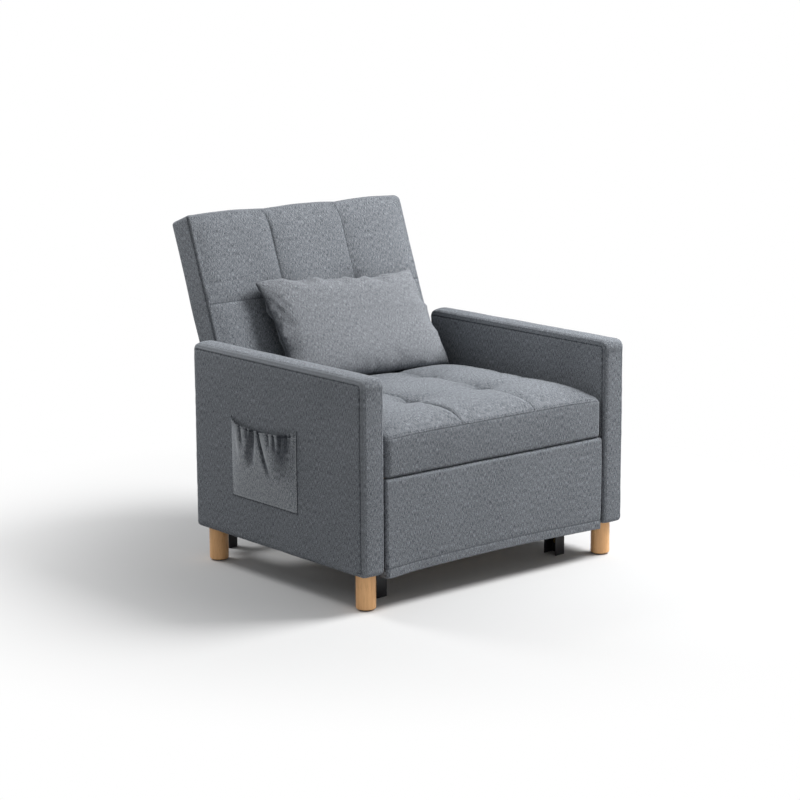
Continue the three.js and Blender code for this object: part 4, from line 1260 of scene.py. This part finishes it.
# %% Legs and glides
def turned(name, profile, centre, segments=48):
    """A profile of (radius, height) pairs, from axis to axis, spun round a standing axis."""
    angle = np.linspace(0, 2 * math.pi, segments, endpoint=False)
    (_, lowest), *body, (_, highest) = profile
    points = [[centre[0], centre[1], lowest]]
    for radius, height in body:
        points += [[centre[0] + math.cos(t) * radius, centre[1] + math.sin(t) * radius, height]
                   for t in angle]
    points.append([centre[0], centre[1], highest])
    last, top = len(points) - 1, 1 + (len(body) - 1) * segments
    faces = []
    for k in range(segments):
        follow = (k + 1) % segments
        faces.append([0, 1 + follow, 1 + k])
        for base in range(1, top, segments):
            above = base + segments
            faces.append([base + k, base + follow, above + follow, above + k])
        faces.append([top + k, top + follow, last])
    mesh = new_mesh(name, points, faces)
    mesh.polygons.foreach_set("use_smooth", [True] * len(mesh.polygons))
    mesh.set_sharp_from_angle(angle=math.radians(50))
    return in_scene(name, mesh)


def rounded_profile(radius, low, high, round_low, round_high):
    """A cylinder's profile with its two edges rounded."""
    bend = np.linspace(0, math.pi / 2, 6)
    bottom = [(radius - round_low + round_low * math.sin(t), low + round_low * (1 - math.cos(t)))
              for t in bend]
    top = [(radius - round_high + round_high * math.cos(t),
            high - round_high + round_high * math.sin(t)) for t in bend]
    return [(0, low), *bottom, *top, (0, high)]


TURNED = (("leg", beech, "leg_wood", 4 * MM), ("leg_glide", nylon, "nylon", 0.8 * MM))
for end in ("front", "rear"):
    for word, _ in SIDES:
        for kind, finish, slot, low_round in TURNED:
            node = f"{kind}_{end}_{word}"
            low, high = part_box(node)
            profile = rounded_profile((high.x - low.x) / 2, low.z, high.z, low_round, 0.6 * MM)
            dress(turned(f"turned_{node}", profile, (low + high) / 2), finish, "frame", slot, node)

# %% [markdown]
# ## Steel, slats and boards
# These nodes already have their true shape, but their edges are perfectly sharp, which no real
# piece has, and a sharp edge never catches the light. So each is copied, its triangles merged
# into flat faces, and its edges bevelled by a fraction of a millimetre.

# %% Bevelled copies of hard nodes
def bevelled(node, width):
    mesh = frame["nodes"][node].data.copy()
    mesh.name = f"{node}_shape"
    work = bmesh.new()
    work.from_mesh(mesh)
    bmesh.ops.remove_doubles(work, verts=work.verts, dist=0.01 * MM)
    bmesh.ops.dissolve_limit(work, angle_limit=math.radians(1), verts=work.verts, edges=work.edges)
    work.to_mesh(mesh)
    work.free()
    made = in_scene(f"{node}_shape", mesh)
    bevel = made.modifiers.new("Edge", "BEVEL")
    bevel.width, bevel.segments, bevel.limit_method = width, 2, "ANGLE"
    bevel.angle_limit = math.radians(35)
    final = bpy.data.meshes.new_from_object(evaluated(made))
    made.modifiers.clear()
    made.data = final
    final.polygons.foreach_set("use_smooth", [True] * len(final.polygons))
    final.set_sharp_from_angle(angle=math.radians(38))
    return made


HARD = {
    "black_steel": (black_coat, 0.5 * MM), "zinc_steel": (zinc, 0.35 * MM),
    "slat_wood": (birch, 0.8 * MM), "nylon": (nylon, 0.6 * MM),
}
stood_for = {n for o in bpy.data.objects for n in o.get("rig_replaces", [])}
slot_of = {part["node"]: part["material_slot"] for part in frame["record"]["subparts"]}
for node in sorted(frame["nodes"]):
    if node not in stood_for:
        finish, width = HARD[slot_of[node]]
        dress(bevelled(node, width), finish, frame["nodes"][node]["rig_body"], slot_of[node], node)

# %% [markdown]
# ## Bolts
# Small bolts hold the steel together. Each place is found by casting a ray at a node, so a head
# always sits on the metal and faces out of it. The tree puts a hexagon head on a washer there,
# and its sizes are inputs, so that the hinge plates and the feet get smaller ones.

# %% The bolt tree
def bolt_tree(finish):
    graph, given = nodes_tree("Bolts", "Places", {
        "Head Radius": 4.6 * MM, "Head Height": 2.6 * MM, "Washer Radius": 6.5 * MM,
    }, "Bolts")
    facing = graph.node("GeometryNodeInputNamedAttribute", {"data_type": "FLOAT_VECTOR"}, {
        "Name": "facing",
    })
    head = graph.node("GeometryNodeMeshCylinder", None, {
        "Vertices": 6, "Radius": given["Head Radius"], "Depth": given["Head Height"],
    })
    washer = graph.node("GeometryNodeMeshCylinder", None, {
        "Vertices": 24, "Radius": given["Washer Radius"], "Depth": 1.2 * MM,
    })
    both = graph.node("GeometryNodeJoinGeometry", None, {0: [head, washer]})
    return spread(graph, finish, given["Places"], both, facing)


def bolts(name, finish, body, sizes, *rays):
    """Bolts where rays (node, start, direction) hit their nodes, as one plain mesh."""
    places, facing = [], []
    for node, start, direction in rays:
        mesh = frame["nodes"][node].data
        corners = [v.co[:] for v in mesh.vertices]
        tree = BVHTree.FromPolygons(corners, [p.vertices[:] for p in mesh.polygons])
        hit, normal, _, _ = tree.ray_cast(Vector(start), Vector(direction))
        if hit is not None:
            places.append(hit + normal * 0.6 * MM)
            facing.append(normal)
    mesh = new_mesh(name, places, [])
    attribute = mesh.attributes.new("facing", "FLOAT_VECTOR", "POINT")
    attribute.data.foreach_set("vector", np.array(facing, np.float32).ravel())
    print(name, "at", len(places), "of", len(rays), "places")
    piece = modified(in_scene(name, mesh), bolt_tree(finish), sizes, name)
    return dress(piece, finish, body, "zinc_steel")


# %% Where the bolts go
def at_share(low, high, share):
    return low + share * (high - low)


bar_low, bar_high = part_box("base_bar_rear")
frame_rays = [("base_bar_rear", (end * share, 1.0, (bar_low.z + bar_high.z) / 2), (0, -1, 0))
              for end in (bar_low.x, bar_high.x) for share in (0.86, 0.93)]
hinge_rays, foot_rays = [], []
for word, side in SIDES:
    inward = (side, 0, 0)
    low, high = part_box(f"seat_rail_{word}")
    for share in (0.06, 0.3, 0.54, 0.78, 0.94):
        start = (0, at_share(low.y, high.y, share), (low.z + high.z) / 2)
        frame_rays.append((f"seat_rail_{word}", start, inward))
    low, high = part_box(f"rear_foot_{word}")
    start = ((low.x + high.x) / 2, 1.0, at_share(low.z, high.z, 0.8))
    frame_rays.append((f"rear_foot_{word}", start, (0, -1, 0)))
    for across, drop in ((-12, 62), (12, 62), (0, 82)):
        start = (0, HINGE[1] + across * MM, HINGE[2] - drop * MM)
        hinge_rays.append((f"hinge_plate_{word}", start, inward))
    low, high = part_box(f"pull_out_foot_{word}")
    start = (0, at_share(low.y, high.y, 0.72), low.z + 30 * MM)
    foot_rays.append((f"pull_out_foot_{word}", start, inward))
plate_sizes = {"Head Radius": 3.6 * MM, "Head Height": 1.4 * MM, "Washer Radius": 5.0 * MM}
bolts("frame_bolts", zinc, "frame", {}, *frame_rays)
bolts("hinge_bolts", zinc, "frame", plate_sizes, *hinge_rays)
bolts("foot_bolts", brass, "pull_out", {"Head Radius": 4.0 * MM}, *foot_rays)

# %% [markdown]
# ## Sewing everything
# The seam paths gathered so far become stitches now, one mesh for each body, since a stitch
# moves with the cloth that it holds.

# %% Stitches
for body, paths in seam_paths.items():
    if paths:
        piece = modified(paths_object(paths), stitching, {}, f"{body}_stitches")
        dress(piece, thread, body, "upholstery")

# %% [markdown]
# ## Floor, light and camera
# The floor is a pale sheet that keeps the chair's shadow and turns to plain white further out.
# One large lamp hangs above the front right, as in a studio, a faint one fills the front, a
# small one stands behind on the left, and an even world does the rest. The camera stands where
# the photograph's did: its place was worked out from the chair's straight edges.

# %% Floor and world
WORLD_LEVEL, FLOOR_HALF = 0.37, 60.0


def plainly_seen(graph):
    """1 where the camera, a reflection or glass looks, and 0 where light is gathered."""
    rays = graph.node("ShaderNodeLightPath")
    first = graph.math("MAXIMUM", rays["Is Camera Ray"], rays["Is Glossy Ray"])
    return graph.math("MAXIMUM", first, rays["Is Transmission Ray"])


def make_floor():
    corners = [(x * FLOOR_HALF, y * FLOOR_HALF, 0) for x, y in ((-1, -1), (1, -1), (1, 1), (-1, 1))]
    mesh = new_mesh("floor", corners, [(0, 1, 2, 3)])
    pale = Finish("studio_floor")
    place = pale.place()
    radius = pale.node("ShaderNodeVectorMath", {"operation": "LENGTH"}, {0: place})["Value"]
    far = pale.node("ShaderNodeMapRange", {"interpolation_type": "SMOOTHSTEP"}, {
        "Value": radius, "From Min": 0.55, "From Max": 1.5,
    })
    seen = plainly_seen(pale)
    lit = pale.node("ShaderNodeBsdfPrincipled", None, {
        "Base Color": pale.blend("MIX", seen, (0.45, 0.45, 0.45), (0.62, 0.62, 0.62)),
        "Roughness": pale.noise(place, 3.0).swing(0.05) + 0.9, "Specular IOR Level": 0.1,
    })
    plain = pale.node("ShaderNodeEmission", None, {"Color": (1.0, 1.0, 1.0), "Strength": 1.0})
    mixed = pale.node("ShaderNodeMixShader", None, {0: far * seen, 1: lit, 2: plain})
    pale.node("ShaderNodeOutputMaterial", None, {"Surface": mixed})
    mesh.materials.append(pale.material)
    in_scene("floor", mesh)


def make_world():
    world = bpy.data.worlds.new("studio")
    world.use_nodes = True
    bpy.context.scene.world = world
    sky = Graph(world.node_tree)
    even = sky.node("ShaderNodeBackground", None, {
        "Color": (0.97, 0.985, 1.0), "Strength": WORLD_LEVEL,
    })
    white = sky.node("ShaderNodeBackground", None, {"Color": (1.0, 1.0, 1.0), "Strength": 1.0})
    mixed = sky.node("ShaderNodeMixShader", None, {0: plainly_seen(sky), 1: even, 2: white})
    sky.node("ShaderNodeOutputWorld", None, {"Surface": mixed})


make_floor()
make_world()
bpy.context.scene.view_settings.view_transform = "Standard"

# %% Lamps
LAMP_TARGET = Vector((0, 0, 0.45))


def lamp(name, direction, distance, size, power):
    light = bpy.data.lights.new(name, "AREA")
    light.shape, light.size, light.energy = "DISK", size, power
    made = in_scene(name, light)
    away = Vector(direction).normalized()
    made.location = LAMP_TARGET + away * distance
    made.rotation_mode = "QUATERNION"
    made.rotation_quaternion = (-away).to_track_quat("-Z", "Y")


lamp("key", (0.7, -0.41, 0.88), 3.4, 1.7, 186)
lamp("front_fill", (0.1, -1, 0.16), 3.4, 1.6, 5)
lamp("rear_left", (-0.45, 0.78, 0.75), 2.2, 0.8, 24)

# %% Camera
AZIMUTH, ELEVATION, ROLL = math.radians(-39.819), math.radians(11.452), math.radians(-0.295)
CAMERA_PLACE = Vector((-3.8026, -4.6212, 1.6177))
FOCAL_PIXELS, FRAME_PIXELS, SENSOR = 2307.5, 800, 36.0


def make_camera():
    data = bpy.data.cameras.new("photo_view")
    data.sensor_width, data.lens = SENSOR, FOCAL_PIXELS / FRAME_PIXELS * SENSOR
    data.clip_end = 200
    made = in_scene("photo_view", data)
    back = Vector((math.sin(AZIMUTH) * math.cos(ELEVATION), -math.cos(AZIMUTH) * math.cos(ELEVATION),
                   math.sin(ELEVATION)))
    right = (-back).cross(Vector((0, 0, 1))).normalized()
    up = right.cross(-back).normalized()
    cos, sin = math.cos(ROLL), math.sin(ROLL)
    axes = (cos * right + sin * up, -sin * right + cos * up, back)
    made.matrix_world = Matrix.Translation(CAMERA_PLACE) @ Matrix(axes).transposed().to_4x4()
    bpy.context.scene.camera = made


make_camera()
